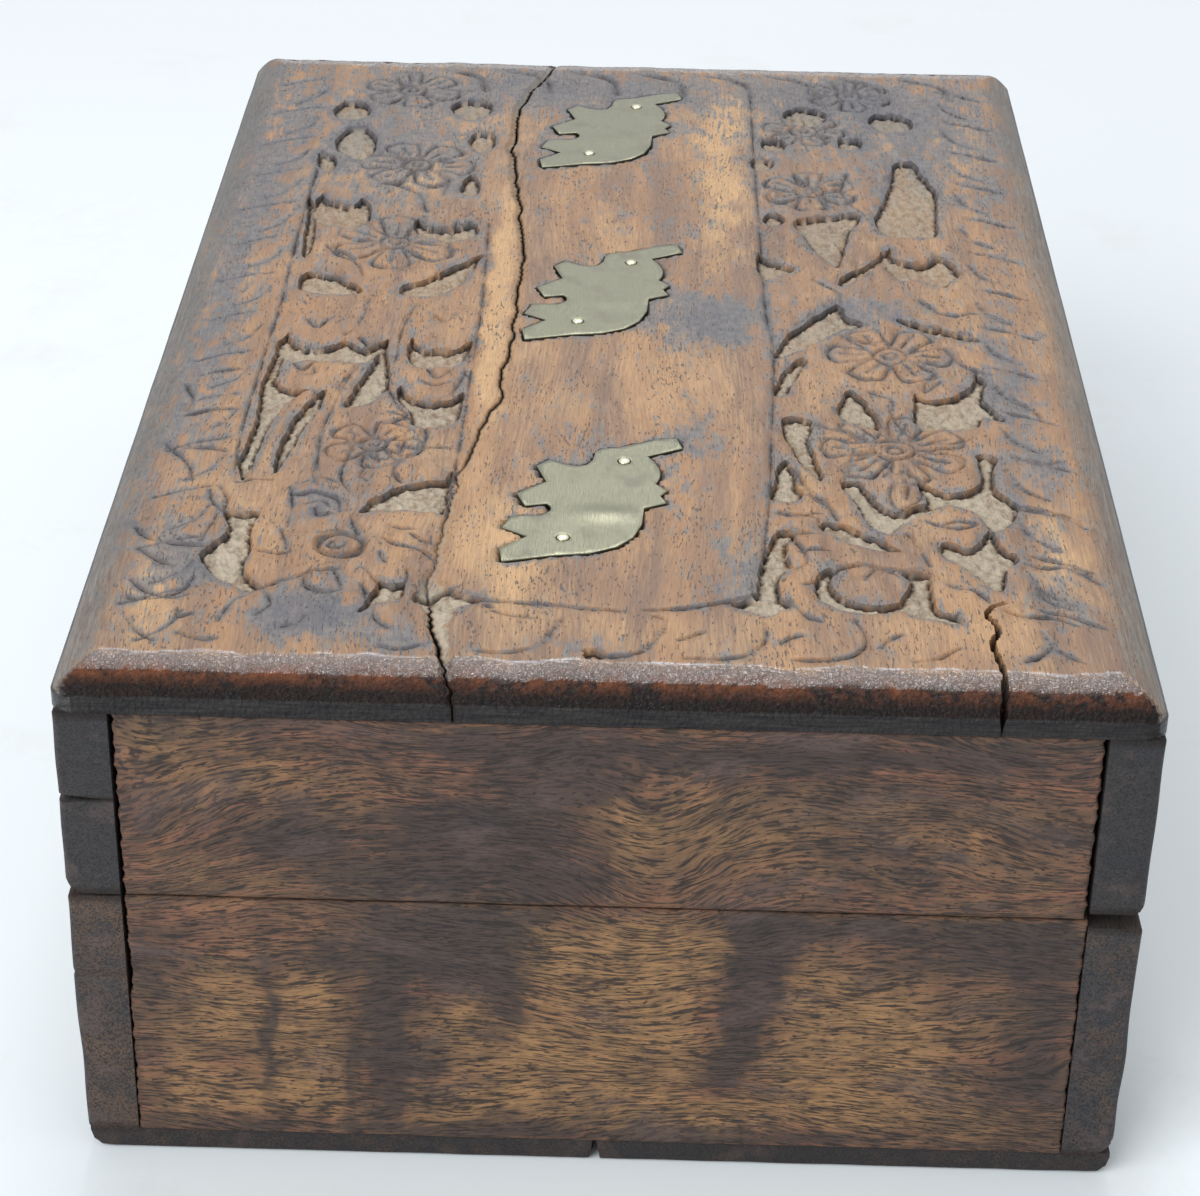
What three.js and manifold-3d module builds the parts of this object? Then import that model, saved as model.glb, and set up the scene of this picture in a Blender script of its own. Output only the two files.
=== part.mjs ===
// A carved wooden trinket box, 8 by 5 inches, with a hinged lid.
// Millimetres. +Z up, +X to the right, the front faces -Y and the hinges are at the back, +Y.
// The origin is the middle of the underside. Each board, inlay, hinge leaf, pin and nail is its own mesh.

import * as THREE from 'three';
import { mergeVertices } from 'three/addons/utils/BufferGeometryUtils.js';
import Module from 'manifold-3d';

const wasm = await Module();
wasm.setup();

// Overall sizes.
const LENGTH = 203;
const DEPTH = 127;
const BASE_HEIGHT = 38.8;
const LID_WALL_HEIGHT = 25.2;

// Boards. The end boards are held between the long boards, and are thicker than they are.
const LONG_BOARD_THICKNESS = 6.6;
const END_BOARD_THICKNESS = 10.5;
const BOTTOM_THICKNESS = 3.3;
const TOP_THICKNESS = 4.7;
const BOTTOM_INSET = 0.5;
const BOTTOM_CORNER_RADIUS = 3;
const WORN_EDGE_RADIUS = 2.5;

// Gaps that old, shrunken wood shows.
const RIM_GAP = 0.3;
const CORNER_GAP = 0.4;

// The moulding round the top: a short upright edge, then a slope that rounds over on to the flat.
const END_MOULDING_WIDTH = 7;
const SIDE_MOULDING_WIDTH = 5;
const MOULDING_DROP = 2.6;
const MOULDING_STEPS = 5;
const TOP_CORNER_RADIUS = 3;

// Metal figures let into the top, head to the left and feet to the front.
const INLAY_THICKNESS = 0.9;
const INLAY_RECESS = 0.6;
const INLAY_CLEARANCE = 0.2;
const INLAY_SPACING = 62;
const INLAY_FIRST_X = 56;
const INLAY_Y = -3.2;
const INLAY_PIN_RADIUS = 0.75;
const INLAY_PIN_LENGTH = 3.6;
const INLAY_PIN_CLEARANCE = 0.15;
const INLAY_EYE = [9.9, 4.1];
const INLAY_RUMP = [-10.5, -3.1];

// Butt hinges, whose leaves lie between the back boards and whose knuckles stand outside them.
const HINGE_LENGTH = 25;
const HINGE_FROM_END = 39;
const HINGE_LEAF_THICKNESS = 0.8;
const HINGE_LEAF_GAP = 0.4;
const HINGE_LEAF_REACH = 5.4;
const HINGE_PIN_RADIUS = 0.8;
const HINGE_PIN_CLEARANCE = 0.05;
const HINGE_KNUCKLE_GAP = 0.3;
const HINGE_BACK_GAP = 0.2;
const HINGE_KNUCKLE_COUNT = 5;
const HINGE_PIN_STAND_OUT = 0.5;
const HINGE_NAIL_SPACING = 15;

// Nails.
const NAIL_SIDES = 8;
const NAIL_CLEARANCE = 0.2;
const BOARD_NAIL = { radius: 0.7, headRadius: 1.1, headDepth: 0.7, length: 18, point: 2 };
const TOP_NAIL = { radius: 0.6, headRadius: 0.9, headDepth: 0.6, length: 15, point: 2 };
const BOTTOM_NAIL = { radius: 0.6, headRadius: 1.1, headDepth: 0.6, length: 12, point: 2 };
const HINGE_NAIL = { radius: 0.5, headRadius: 1.1, headDepth: 0.5, length: 7, point: 1.5 };
const TOP_NAIL_FROM_END = 8.3;
const TOP_NAIL_Y = -2;
const TOP_NAIL_SUNK = 0.5;
const BASE_NAIL_HEIGHTS = [12, 29];
const LID_NAIL_HEIGHTS = [6.5, 18.5];
const BOTTOM_NAIL_SIDE_X = 52;
const BOTTOM_NAIL_END_Y = 24;

// A cutter reaches this far past the face that it cuts through.
const OVERCUT = 1;

// Sizes that follow from those above.
const endX = LENGTH / 2;
const sideY = DEPTH / 2;
const lidRim = BASE_HEIGHT + RIM_GAP;
const lidWallTop = lidRim + LID_WALL_HEIGHT;
const topFace = lidWallTop + TOP_THICKNESS;
const endBoardWidth = DEPTH - 2 * (LONG_BOARD_THICKNESS + CORNER_GAP);
const leafStack = 2 * HINGE_LEAF_THICKNESS + HINGE_LEAF_GAP;
const hingeAxisZ = BASE_HEIGHT + RIM_GAP / 2;
const baseBackTop = hingeAxisZ - leafStack / 2;
const lidBackBottom = hingeAxisZ + leafStack / 2;
const knuckleRadius = HINGE_PIN_RADIUS + HINGE_PIN_CLEARANCE + HINGE_LEAF_THICKNESS;
const hingeAxisY = sideY + knuckleRadius + HINGE_BACK_GAP;
const hingeX = endX - HINGE_FROM_END;
const hingeNailY = sideY - LONG_BOARD_THICKNESS / 2;

const carvedWood = new THREE.MeshStandardMaterial({ color: 0x9a6a45, roughness: 0.6, metalness: 0 });
const wallWood = new THREE.MeshStandardMaterial({ color: 0x6b4630, roughness: 0.55, metalness: 0 });
const edgeWood = new THREE.MeshStandardMaterial({ color: 0x4a3226, roughness: 0.65, metalness: 0 });
const greyBrass = new THREE.MeshStandardMaterial({ color: 0x8c8770, roughness: 0.4, metalness: 1 });
const brightPin = new THREE.MeshStandardMaterial({ color: 0xd8d2b4, roughness: 0.3, metalness: 1 });
const agedBrass = new THREE.MeshStandardMaterial({ color: 0x8a7440, roughness: 0.45, metalness: 1 });
const darkIron = new THREE.MeshStandardMaterial({ color: 0x3d3a37, roughness: 0.6, metalness: 1 });

const model = new THREE.Group();

// Keeps only positions, joins shared corners and drops triangles without area.
function weld(geometry) {
  const bare = geometry.clone();
  for (const name of Object.keys(bare.attributes)) {
    if (name !== 'position') bare.deleteAttribute(name);
  }
  const joined = mergeVertices(bare, 1e-4);
  const corners = joined.getIndex().array;
  const kept = [];
  for (let i = 0; i < corners.length; i += 3) {
    const [a, b, c] = [corners[i], corners[i + 1], corners[i + 2]];
    if (a !== b && b !== c && c !== a) kept.push(a, b, c);
  }
  joined.setIndex(kept);
  return joined;
}

// Turns a closed geometry into a solid that can be joined and cut.
function solidOf(geometry) {
  const joined = weld(geometry);
  return new wasm.Manifold(new wasm.Mesh({
    numProp: 3,
    vertProperties: new Float32Array(joined.attributes.position.array),
    triVerts: new Uint32Array(joined.getIndex().array),
  }));
}

// Turns a solid back into a geometry.
function geometryOf(solid) {
  const mesh = solid.getMesh();
  const geometry = new THREE.BufferGeometry();
  geometry.setAttribute('position', new THREE.BufferAttribute(new Float32Array(mesh.vertProperties), 3));
  geometry.setIndex(new THREE.BufferAttribute(new Uint32Array(mesh.triVerts), 1));
  geometry.computeVertexNormals();
  return geometry;
}

// Cuts every cutter out of a geometry.
function cut(geometry, cutters) {
  let solid = solidOf(geometry);
  for (const cutter of cutters) {
    solid = solid.subtract(solidOf(cutter));
  }
  return geometryOf(solid);
}

function addPiece(name, geometry, material) {
  const piece = new THREE.Mesh(geometry, material);
  piece.name = name;
  model.add(piece);
  return piece;
}

// A rectangle from low to high whose corners are rounded by radii:
// [low-low, high-low, high-high, low-high]. A radius of 0 leaves a corner sharp.
function roundedRectangle(lowU, lowV, highU, highV, radii) {
  const [r0, r1, r2, r3] = radii;
  const shape = new THREE.Shape();
  shape.moveTo(lowU + r0, lowV);
  shape.lineTo(highU - r1, lowV);
  if (r1 > 0) shape.absarc(highU - r1, lowV + r1, r1, -Math.PI / 2, 0, false);
  shape.lineTo(highU, highV - r2);
  if (r2 > 0) shape.absarc(highU - r2, highV - r2, r2, 0, Math.PI / 2, false);
  shape.lineTo(lowU + r3, highV);
  if (r3 > 0) shape.absarc(lowU + r3, highV - r3, r3, Math.PI / 2, Math.PI, false);
  shape.lineTo(lowU, lowV + r0);
  if (r0 > 0) shape.absarc(lowU + r0, lowV + r0, r0, Math.PI, 1.5 * Math.PI, false);
  return shape;
}

// Extrudes a section drawn in Y and Z along X, from lowX to highX.
function alongX(section, lowX, highX, curveSegments = 4) {
  const geometry = new THREE.ExtrudeGeometry(section, {
    depth: highX - lowX,
    bevelEnabled: false,
    curveSegments,
  });
  const turn = new THREE.Matrix4().makeBasis(
    new THREE.Vector3(0, 1, 0),
    new THREE.Vector3(0, 0, 1),
    new THREE.Vector3(1, 0, 0),
  );
  geometry.applyMatrix4(turn);
  geometry.translate(lowX, 0, 0);
  return geometry;
}

// Extrudes an outline drawn in X and Y upwards, from lowZ to highZ.
function upward(outline, lowZ, highZ, curveSegments = 4) {
  const geometry = new THREE.ExtrudeGeometry(outline, {
    depth: highZ - lowZ,
    bevelEnabled: false,
    curveSegments,
  });
  geometry.translate(0, 0, lowZ);
  return geometry;
}

// A board with square edges between two opposite corners.
function plainBoard(low, high) {
  const size = high.map((value, axis) => value - low[axis]);
  const geometry = new THREE.BoxGeometry(...size);
  geometry.translate(...high.map((value, axis) => (value + low[axis]) / 2));
  return geometry;
}

// A closed skin through rings of equal point counts, from the lowest ring to the highest.
function skinOfRings(rings) {
  const count = rings[0].length;
  const positions = rings.flat().flatMap((point) => [point.x, point.y, point.z]);
  const index = [];
  for (let ring = 0; ring < rings.length - 1; ring += 1) {
    for (let i = 0; i < count; i += 1) {
      const a = ring * count + i;
      const b = ring * count + (i + 1) % count;
      index.push(a, b, b + count, a, b + count, a + count);
    }
  }
  const lastRing = (rings.length - 1) * count;
  for (const [a, b, c] of THREE.ShapeUtils.triangulateShape(rings[0], [])) {
    index.push(a, c, b, lastRing + a, lastRing + b, lastRing + c);
  }
  const geometry = new THREE.BufferGeometry();
  geometry.setAttribute('position', new THREE.Float32BufferAttribute(positions, 3));
  geometry.setIndex(index);
  geometry.computeVertexNormals();
  return geometry;
}

// A nail standing on its point at -length, with its flat head at 0, turned about Z.
// Grown by a clearance and raised past its head, the same form is the nail's bore.
function nailForm(nail, clearance = 0, overcut = 0) {
  const shank = nail.radius + clearance;
  const head = nail.headRadius + clearance;
  const profile = [
    new THREE.Vector2(0, -nail.length - clearance),
    new THREE.Vector2(shank, -nail.length + nail.point),
    new THREE.Vector2(shank, -nail.headDepth - clearance),
    new THREE.Vector2(head, -nail.headDepth - clearance),
    new THREE.Vector2(head, overcut),
    new THREE.Vector2(0, overcut),
  ];
  const geometry = new THREE.LatheGeometry(profile, NAIL_SIDES);
  geometry.rotateX(Math.PI / 2);
  return weld(geometry);
}

// Every nail keeps its place here, so that its bore is cut from the pieces that it holds.
const nails = [];

function placeNail(name, nail, headAt, outward, material) {
  const turn = new THREE.Quaternion().setFromUnitVectors(new THREE.Vector3(0, 0, 1), outward);
  const place = new THREE.Matrix4().compose(headAt, turn, new THREE.Vector3(1, 1, 1));
  nails.push({ name, nail, headAt, turn, place, material });
}

// The bores of the nails whose names start with any of the given words.
function boresOf(...starts) {
  return nails
    .filter(({ name }) => starts.some((start) => name.startsWith(start)))
    .map(({ nail, place }) => nailForm(nail, NAIL_CLEARANCE, OVERCUT).applyMatrix4(place));
}

const up = new THREE.Vector3(0, 0, 1);
const down = new THREE.Vector3(0, 0, -1);
const sides = [['front', -1], ['back', 1]];
const ends = [['left', -1], ['right', 1]];

// Two nails at each corner go through a long board into the end of an end board.
function placeCornerNails(prefix, heights, floor) {
  for (const [sideName, side] of sides) {
    for (const [endName, end] of ends) {
      for (const [level, height] of heights.entries()) {
        const levelName = ['lower', 'upper'][level];
        const headAt = new THREE.Vector3(
          end * (endX - END_BOARD_THICKNESS / 2), side * sideY, floor + height,
        );
        placeNail(
          `${prefix}_corner_nail_${sideName}_${endName}_${levelName}`,
          BOARD_NAIL, headAt, new THREE.Vector3(0, side, 0), darkIron,
        );
      }
    }
  }
}

placeCornerNails('base', BASE_NAIL_HEIGHTS, 0);
placeCornerNails('lid', LID_NAIL_HEIGHTS, lidRim);

// One nail near each end holds the top down on the end board under it.
for (const [endName, end] of ends) {
  const headAt = new THREE.Vector3(
    end * (endX - TOP_NAIL_FROM_END), TOP_NAIL_Y, topFace - TOP_NAIL_SUNK,
  );
  placeNail(`lid_top_nail_${endName}`, TOP_NAIL, headAt, up, darkIron);
}

// Nails up through the bottom board: two into each long board and two into each end board.
for (const [sideName, side] of sides) {
  for (const [endName, end] of ends) {
    const underSide = new THREE.Vector3(
      end * BOTTOM_NAIL_SIDE_X, side * (sideY - LONG_BOARD_THICKNESS / 2), 0,
    );
    const underEnd = new THREE.Vector3(
      end * (endX - END_BOARD_THICKNESS / 2), side * BOTTOM_NAIL_END_Y, 0,
    );
    placeNail(`bottom_nail_side_${sideName}_${endName}`, BOTTOM_NAIL, underSide, down, darkIron);
    placeNail(`bottom_nail_end_${sideName}_${endName}`, BOTTOM_NAIL, underEnd, down, darkIron);
  }
}

// Two nails in each hinge leaf, into the edge of the board that it lies on.
for (const [endName, end] of ends) {
  for (const [number, step] of [-0.5, 0.5].entries()) {
    const x = end * hingeX + step * HINGE_NAIL_SPACING;
    const baseHead = new THREE.Vector3(x, hingeNailY, baseBackTop + HINGE_LEAF_THICKNESS);
    const lidHead = new THREE.Vector3(x, hingeNailY, lidBackBottom - HINGE_LEAF_THICKNESS);
    placeNail(`${endName}_hinge_base_nail_${number + 1}`, HINGE_NAIL, baseHead, up, agedBrass);
    placeNail(`${endName}_hinge_lid_nail_${number + 1}`, HINGE_NAIL, lidHead, down, agedBrass);
  }
}

// The figure's outline, drawn facing +u with its back at +v, as sawn from sheet with a raised trunk.
function elephantOutline() {
  const outline = new THREE.Shape();
  outline.moveTo(16.7, 10.8);
  outline.lineTo(13.8, 11.6);
  outline.lineTo(11.4, 7.1);
  outline.quadraticCurveTo(7.4, 9.8, 4, 8.2);
  outline.lineTo(2.2, 9.7);
  outline.lineTo(0.8, 8.8);
  outline.lineTo(-1, 9.6);
  outline.lineTo(-2.5, 6.8);
  outline.bezierCurveTo(-10, 7, -14.5, 4.5, -14.9, -4);
  outline.lineTo(-16.7, -10.3);
  outline.lineTo(-13.5, -10.8);
  outline.lineTo(-10.3, -7.5);
  outline.lineTo(-8.3, -10.7);
  outline.lineTo(-5.2, -9.7);
  outline.lineTo(-5, -6.1);
  outline.quadraticCurveTo(-3.6, -4, -1.9, -5.4);
  outline.lineTo(-2.6, -8.1);
  outline.lineTo(0.6, -9.3);
  outline.lineTo(3.9, -5.7);
  outline.lineTo(8.1, -7.1);
  outline.lineTo(9.9, -5.5);
  outline.bezierCurveTo(7, -1.6, 8, 0.2, 12.1, 0.3);
  outline.quadraticCurveTo(13.6, 1, 13.5, 3.1);
  outline.lineTo(16.2, 8.4);
  return outline.getPoints(5);
}

// Moves each side of a closed outline outwards by the same distance, corners kept sharp.
function grownOutline(points, distance) {
  const open = points.filter((point, i) => point.distanceTo(points[(i + 1) % points.length]) > 1e-6);
  return open.map((point, i) => {
    const before = open[(i + open.length - 1) % open.length];
    const after = open[(i + 1) % open.length];
    const sideIn = point.clone().sub(before).normalize();
    const sideOut = after.clone().sub(point).normalize();
    const normalIn = new THREE.Vector2(sideIn.y, -sideIn.x);
    const normalOut = new THREE.Vector2(sideOut.y, -sideOut.x);
    const mitre = normalIn.clone().add(normalOut).normalize();
    const reach = distance / Math.max(mitre.dot(normalOut), 0.4);
    return point.clone().addScaledVector(mitre, reach);
  });
}

// The figure walks to the left, so its drawing is turned half round and mirrored about its length.
function figurePlace(points, centreX) {
  return points.map((point) => new THREE.Vector2(centreX - point.x, INLAY_Y + point.y)).reverse();
}

const inlayNames = ['right', 'middle', 'left'];
const inlayCentres = inlayNames.map((_, i) => INLAY_FIRST_X - i * INLAY_SPACING);
const inlayFloor = topFace - INLAY_RECESS;
const inlayTop = inlayFloor + INLAY_THICKNESS;
const figure = elephantOutline();

function inlayPinPlaces(centreX) {
  return [
    ['head', centreX - INLAY_EYE[0], INLAY_Y + INLAY_EYE[1]],
    ['rump', centreX - INLAY_RUMP[0], INLAY_Y + INLAY_RUMP[1]],
  ];
}

function inlayPinForm(x, y, clearance = 0, overcut = 0) {
  const length = INLAY_PIN_LENGTH + clearance + overcut;
  const form = new THREE.CylinderGeometry(
    INLAY_PIN_RADIUS + clearance, INLAY_PIN_RADIUS + clearance, length, NAIL_SIDES,
  );
  form.rotateX(Math.PI / 2);
  form.translate(x, y, inlayTop - INLAY_PIN_LENGTH - clearance + length / 2);
  return form;
}

function inlayPinBores(centreX) {
  return inlayPinPlaces(centreX).map(([, x, y]) => inlayPinForm(x, y, INLAY_PIN_CLEARANCE, OVERCUT));
}

// The top: the moulding's section carried round the rounded outline, ring by ring.
function mouldedTop() {
  const rings = [];
  const addRing = (along, z) => {
    const highX = endX - END_MOULDING_WIDTH * along;
    const highY = sideY - SIDE_MOULDING_WIDTH * along;
    const radii = Array(4).fill(TOP_CORNER_RADIUS);
    const outline = roundedRectangle(-highX, -highY, highX, highY, radii);
    const points = outline.getPoints(4).slice(0, -1);
    rings.push(points.map((point) => new THREE.Vector3(point.x, point.y, z)));
  };
  addRing(0, lidWallTop);
  for (let step = 0; step <= MOULDING_STEPS; step += 1) {
    const along = step / MOULDING_STEPS;
    const rise = (along + Math.sin(along * Math.PI / 2)) / 2;
    addRing(along, topFace - MOULDING_DROP * (1 - rise));
  }
  return skinOfRings(rings);
}

const inlayRecesses = inlayCentres.map((centreX) => {
  const recess = new THREE.Shape(figurePlace(grownOutline(figure, INLAY_CLEARANCE), centreX));
  return upward(recess, inlayFloor, topFace + OVERCUT);
});

addPiece('lid_top_board', cut(mouldedTop(), [
  ...inlayRecesses,
  ...inlayCentres.flatMap(inlayPinBores),
  ...boresOf('lid_top_nail'),
]), carvedWood);

for (const [i, centreX] of inlayCentres.entries()) {
  const plate = upward(new THREE.Shape(figurePlace(figure, centreX)), inlayFloor, inlayTop);
  addPiece(`elephant_inlay_${inlayNames[i]}`, cut(plate, inlayPinBores(centreX)), greyBrass);
  for (const [pinName, x, y] of inlayPinPlaces(centreX)) {
    addPiece(`inlay_pin_${inlayNames[i]}_${pinName}`, inlayPinForm(x, y), brightPin);
  }
}

// The long boards, each a section carried from end to end. The outer lower edges are worn round.
function longBoard(side, lowZ, highZ, wornLow) {
  const outer = side * sideY;
  const inner = side * (sideY - LONG_BOARD_THICKNESS);
  const radii = side < 0 ? [wornLow, 0, 0, 0] : [0, wornLow, 0, 0];
  const section = roundedRectangle(
    Math.min(inner, outer), lowZ, Math.max(inner, outer), highZ, radii,
  );
  return alongX(section, -endX, endX);
}

const hingeNailNames = (part) => ends.map(([endName]) => `${endName}_hinge_${part}_nail`);

addPiece('lid_front_board', cut(
  longBoard(-1, lidRim, lidWallTop, WORN_EDGE_RADIUS),
  boresOf('lid_corner_nail_front'),
), edgeWood);
addPiece('lid_back_board', cut(
  longBoard(1, lidBackBottom, lidWallTop, 0),
  boresOf('lid_corner_nail_back', ...hingeNailNames('lid')),
), edgeWood);
addPiece('base_front_board', cut(
  longBoard(-1, BOTTOM_THICKNESS, BASE_HEIGHT, 0),
  boresOf('base_corner_nail_front', 'bottom_nail_side_front'),
), edgeWood);
addPiece('base_back_board', cut(
  longBoard(1, BOTTOM_THICKNESS, baseBackTop, WORN_EDGE_RADIUS),
  boresOf('base_corner_nail_back', 'bottom_nail_side_back', ...hingeNailNames('base')),
), edgeWood);

// The end boards stand between the long boards.
for (const [endName, end] of ends) {
  const inner = end * (endX - END_BOARD_THICKNESS);
  const outer = end * endX;
  const lowX = Math.min(inner, outer);
  const highX = Math.max(inner, outer);
  const reach = endBoardWidth / 2;
  addPiece(`lid_${endName}_end_board`, cut(
    plainBoard([lowX, -reach, lidRim], [highX, reach, lidWallTop]),
    boresOf(
      `lid_top_nail_${endName}`,
      `lid_corner_nail_front_${endName}`,
      `lid_corner_nail_back_${endName}`,
    ),
  ), wallWood);
  addPiece(`base_${endName}_end_board`, cut(
    plainBoard([lowX, -reach, BOTTOM_THICKNESS], [highX, reach, BASE_HEIGHT]),
    boresOf(
      `bottom_nail_end_front_${endName}`,
      `bottom_nail_end_back_${endName}`,
      `base_corner_nail_front_${endName}`,
      `base_corner_nail_back_${endName}`,
    ),
  ), wallWood);
}

// The bottom board, a little smaller than the walls above it, with rounded corners.
const bottomRadii = Array(4).fill(BOTTOM_CORNER_RADIUS);
const bottomOutline = roundedRectangle(
  -endX + BOTTOM_INSET, -sideY + BOTTOM_INSET, endX - BOTTOM_INSET, sideY - BOTTOM_INSET, bottomRadii,
);
addPiece('base_bottom_board', cut(
  upward(bottomOutline, 0, BOTTOM_THICKNESS),
  boresOf('bottom_nail'),
), edgeWood);

// A hinge leaf: a flat strip that is rolled round the pin in every second knuckle.
// flip is 1 for the leaf below the axis and -1 for the leaf above it.
function hingeLeaf(centreX, flip, firstKnuckle) {
  const knucklePitch = HINGE_LENGTH / HINGE_KNUCKLE_COUNT;
  const faceOut = -HINGE_LEAF_GAP / 2 - HINGE_LEAF_THICKNESS;
  const faceIn = -HINGE_LEAF_GAP / 2;
  const clearRadius = knuckleRadius + HINGE_KNUCKLE_GAP;
  const lowX = centreX - HINGE_LENGTH / 2;
  const placed = (section, from, to) => {
    const geometry = alongX(section, from, to, 6);
    geometry.translate(0, hingeAxisY, hingeAxisZ);
    return solidOf(geometry);
  };
  const reach = -(hingeAxisY - sideY) - HINGE_LEAF_REACH;
  const strip = (toY) => {
    const [low, high] = flip > 0 ? [faceOut, faceIn] : [-faceIn, -faceOut];
    return roundedRectangle(reach, low, toY, high, [0, 0, 0, 0]);
  };
  let leaf = placed(strip(-clearRadius), lowX, lowX + HINGE_LENGTH);
  for (let k = firstKnuckle; k < HINGE_KNUCKLE_COUNT; k += 2) {
    const from = lowX + k * knucklePitch + HINGE_KNUCKLE_GAP / 2;
    const to = from + knucklePitch - HINGE_KNUCKLE_GAP;
    const roll = new THREE.Shape();
    roll.absarc(0, 0, knuckleRadius, 0, 2 * Math.PI, false);
    const bore = new THREE.Shape();
    bore.absarc(0, 0, HINGE_PIN_RADIUS + HINGE_PIN_CLEARANCE, 0, 2 * Math.PI, false);
    leaf = leaf.add(placed(strip(-knuckleRadius / 2), from, to));
    leaf = leaf.add(placed(roll, from, to));
    leaf = leaf.subtract(placed(bore, from - OVERCUT, to + OVERCUT));
  }
  return geometryOf(leaf);
}

for (const [endName, end] of ends) {
  const centreX = end * hingeX;
  addPiece(`${endName}_hinge_base_leaf`, cut(
    hingeLeaf(centreX, 1, 0),
    boresOf(`${endName}_hinge_base_nail`),
  ), agedBrass);
  addPiece(`${endName}_hinge_lid_leaf`, cut(
    hingeLeaf(centreX, -1, 1),
    boresOf(`${endName}_hinge_lid_nail`),
  ), agedBrass);
  const pinShape = new THREE.Shape();
  pinShape.absarc(0, 0, HINGE_PIN_RADIUS, 0, 2 * Math.PI, false);
  const halfPin = HINGE_LENGTH / 2 + HINGE_PIN_STAND_OUT;
  const pin = alongX(pinShape, -halfPin, halfPin, 6);
  const pinPiece = addPiece(`${endName}_hinge_pin`, pin, agedBrass);
  pinPiece.position.set(centreX, hingeAxisY, hingeAxisZ);
}

for (const { name, nail, headAt, turn, material } of nails) {
  const piece = addPiece(name, nailForm(nail), material);
  piece.position.copy(headAt);
  piece.quaternion.copy(turn);
}

export default model;
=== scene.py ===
# %% [markdown]
# # An old carved wooden box, rebuilt from its frame
#
# The box is an Indian trinket box of sheesham, a brown rosewood: a shallow lid with a carved top, hinged on
# a plain base. Three sawn brass elephants are let into the lid.
# The frame gives every piece's place. This lesson makes the surfaces that the frame leaves plain: carving,
# worn edges, splits, dust, grain and old metal. All sizes are in millimetres until a mesh is written.

import math

import bpy
import numpy as np
from mathutils.geometry import delaunay_2d_cdt
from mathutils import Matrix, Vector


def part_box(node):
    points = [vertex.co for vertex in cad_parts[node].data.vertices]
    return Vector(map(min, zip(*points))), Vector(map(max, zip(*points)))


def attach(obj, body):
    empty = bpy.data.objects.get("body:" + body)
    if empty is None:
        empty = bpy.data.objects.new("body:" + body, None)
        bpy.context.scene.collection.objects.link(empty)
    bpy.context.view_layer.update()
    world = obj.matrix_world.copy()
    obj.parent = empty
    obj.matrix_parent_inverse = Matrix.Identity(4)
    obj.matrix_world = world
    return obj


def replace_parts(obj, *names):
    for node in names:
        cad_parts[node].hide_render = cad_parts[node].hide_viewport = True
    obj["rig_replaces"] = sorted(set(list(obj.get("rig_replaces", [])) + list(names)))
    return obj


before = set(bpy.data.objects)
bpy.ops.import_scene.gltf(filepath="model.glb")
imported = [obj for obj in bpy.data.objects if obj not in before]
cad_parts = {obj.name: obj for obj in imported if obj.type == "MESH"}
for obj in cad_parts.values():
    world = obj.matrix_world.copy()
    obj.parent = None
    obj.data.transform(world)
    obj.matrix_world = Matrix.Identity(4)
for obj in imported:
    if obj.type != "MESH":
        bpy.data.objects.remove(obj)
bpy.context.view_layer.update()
MM = 0.001

# %% [markdown]
# ## Small helpers
# Colours are written as sRGB hex values, as a paint chart gives them, and one function turns them to the
# linear numbers that a shader wants. One function adds a node with its settings and its links.


# %% Colour and node helpers
def linear(hex_value):
    """An sRGB hex colour as linear numbers: low values are divided by 12.92, others follow the 2.4 power."""
    parts = [int(hex_value[k:k + 2], 16) / 255 for k in (1, 3, 5)]
    return (*[c / 12.92 if c <= 0.04045 else ((c + 0.055) / 1.055) ** 2.4 for c in parts], 1.0)


def add(tree, kind, inputs, out=0, **settings):
    """Adds one node and returns its output number `out`. An input is a value, or a socket to link."""
    made = tree.nodes.new(kind)
    for name, value in settings.items():
        setattr(made, name, value)
    for key, value in inputs.items():
        if isinstance(value, bpy.types.NodeSocket):
            tree.links.new(value, made.inputs[key])
        else:
            made.inputs[key].default_value = value
    return made.outputs[out] if made.outputs else None


def empty_material(name):
    """A material with an empty node tree."""
    material = bpy.data.materials.new(name)
    material.use_nodes = True
    material.node_tree.nodes.clear()
    return material, material.node_tree


print("#808080 is", round(linear("#808080")[0], 3), "of full light")

# %% [markdown]
# ## Camera
# The box is seen from its right end, about 30 degrees above the table, with a long lens: the two long sides
# run together only a little. The place and the lens were worked out from the corners of an 8 by 5 inch box.

# %% Make the camera
CAMERA_PLACE = (0.38927, 0.00281, 0.25028)
CAMERA_TURN_DEGREES = (59.559, -0.908, 91.318)
CAMERA_LENS = 90.727

camera_data = bpy.data.cameras.new("camera")
camera_data.lens = CAMERA_LENS
camera_data.sensor_width = 36
camera_data.sensor_fit = "HORIZONTAL"
camera_data.clip_start = 0.01
camera = bpy.data.objects.new("camera", camera_data)
camera.location = CAMERA_PLACE
camera.rotation_euler = [math.radians(a) for a in CAMERA_TURN_DEGREES]
bpy.context.scene.collection.objects.link(camera)
bpy.context.scene.camera = camera
print("camera", CAMERA_PLACE)

# %% [markdown]
# ## Table and light
# The box stands on a smooth white table in a bright room. A broad window light comes from above and behind
# it, so the top shines, the moulding catches a line of light and the near end stays darker. A weak wide
# lamp beside the camera opens the shadows. Under and in front of the box, the table seen by the camera is
# painted lighter: painted light over its shade.

# %% Table, sky and lamps
scene = bpy.context.scene
scene.view_settings.view_transform = "Standard"

TABLE_COLOUR = "#e4e9ed"
TABLE_PAINTED_LIGHT_NEAR = "#f1f8fc"
SMEAR_COLOUR = "#cfcdc8"
SKY_COLOUR = "#f6f9fb"
TABLE_HALF = 6.0
PAINTED_LIGHT_STARTS, PAINTED_LIGHT_ENDS = -0.3, -0.05


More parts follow.
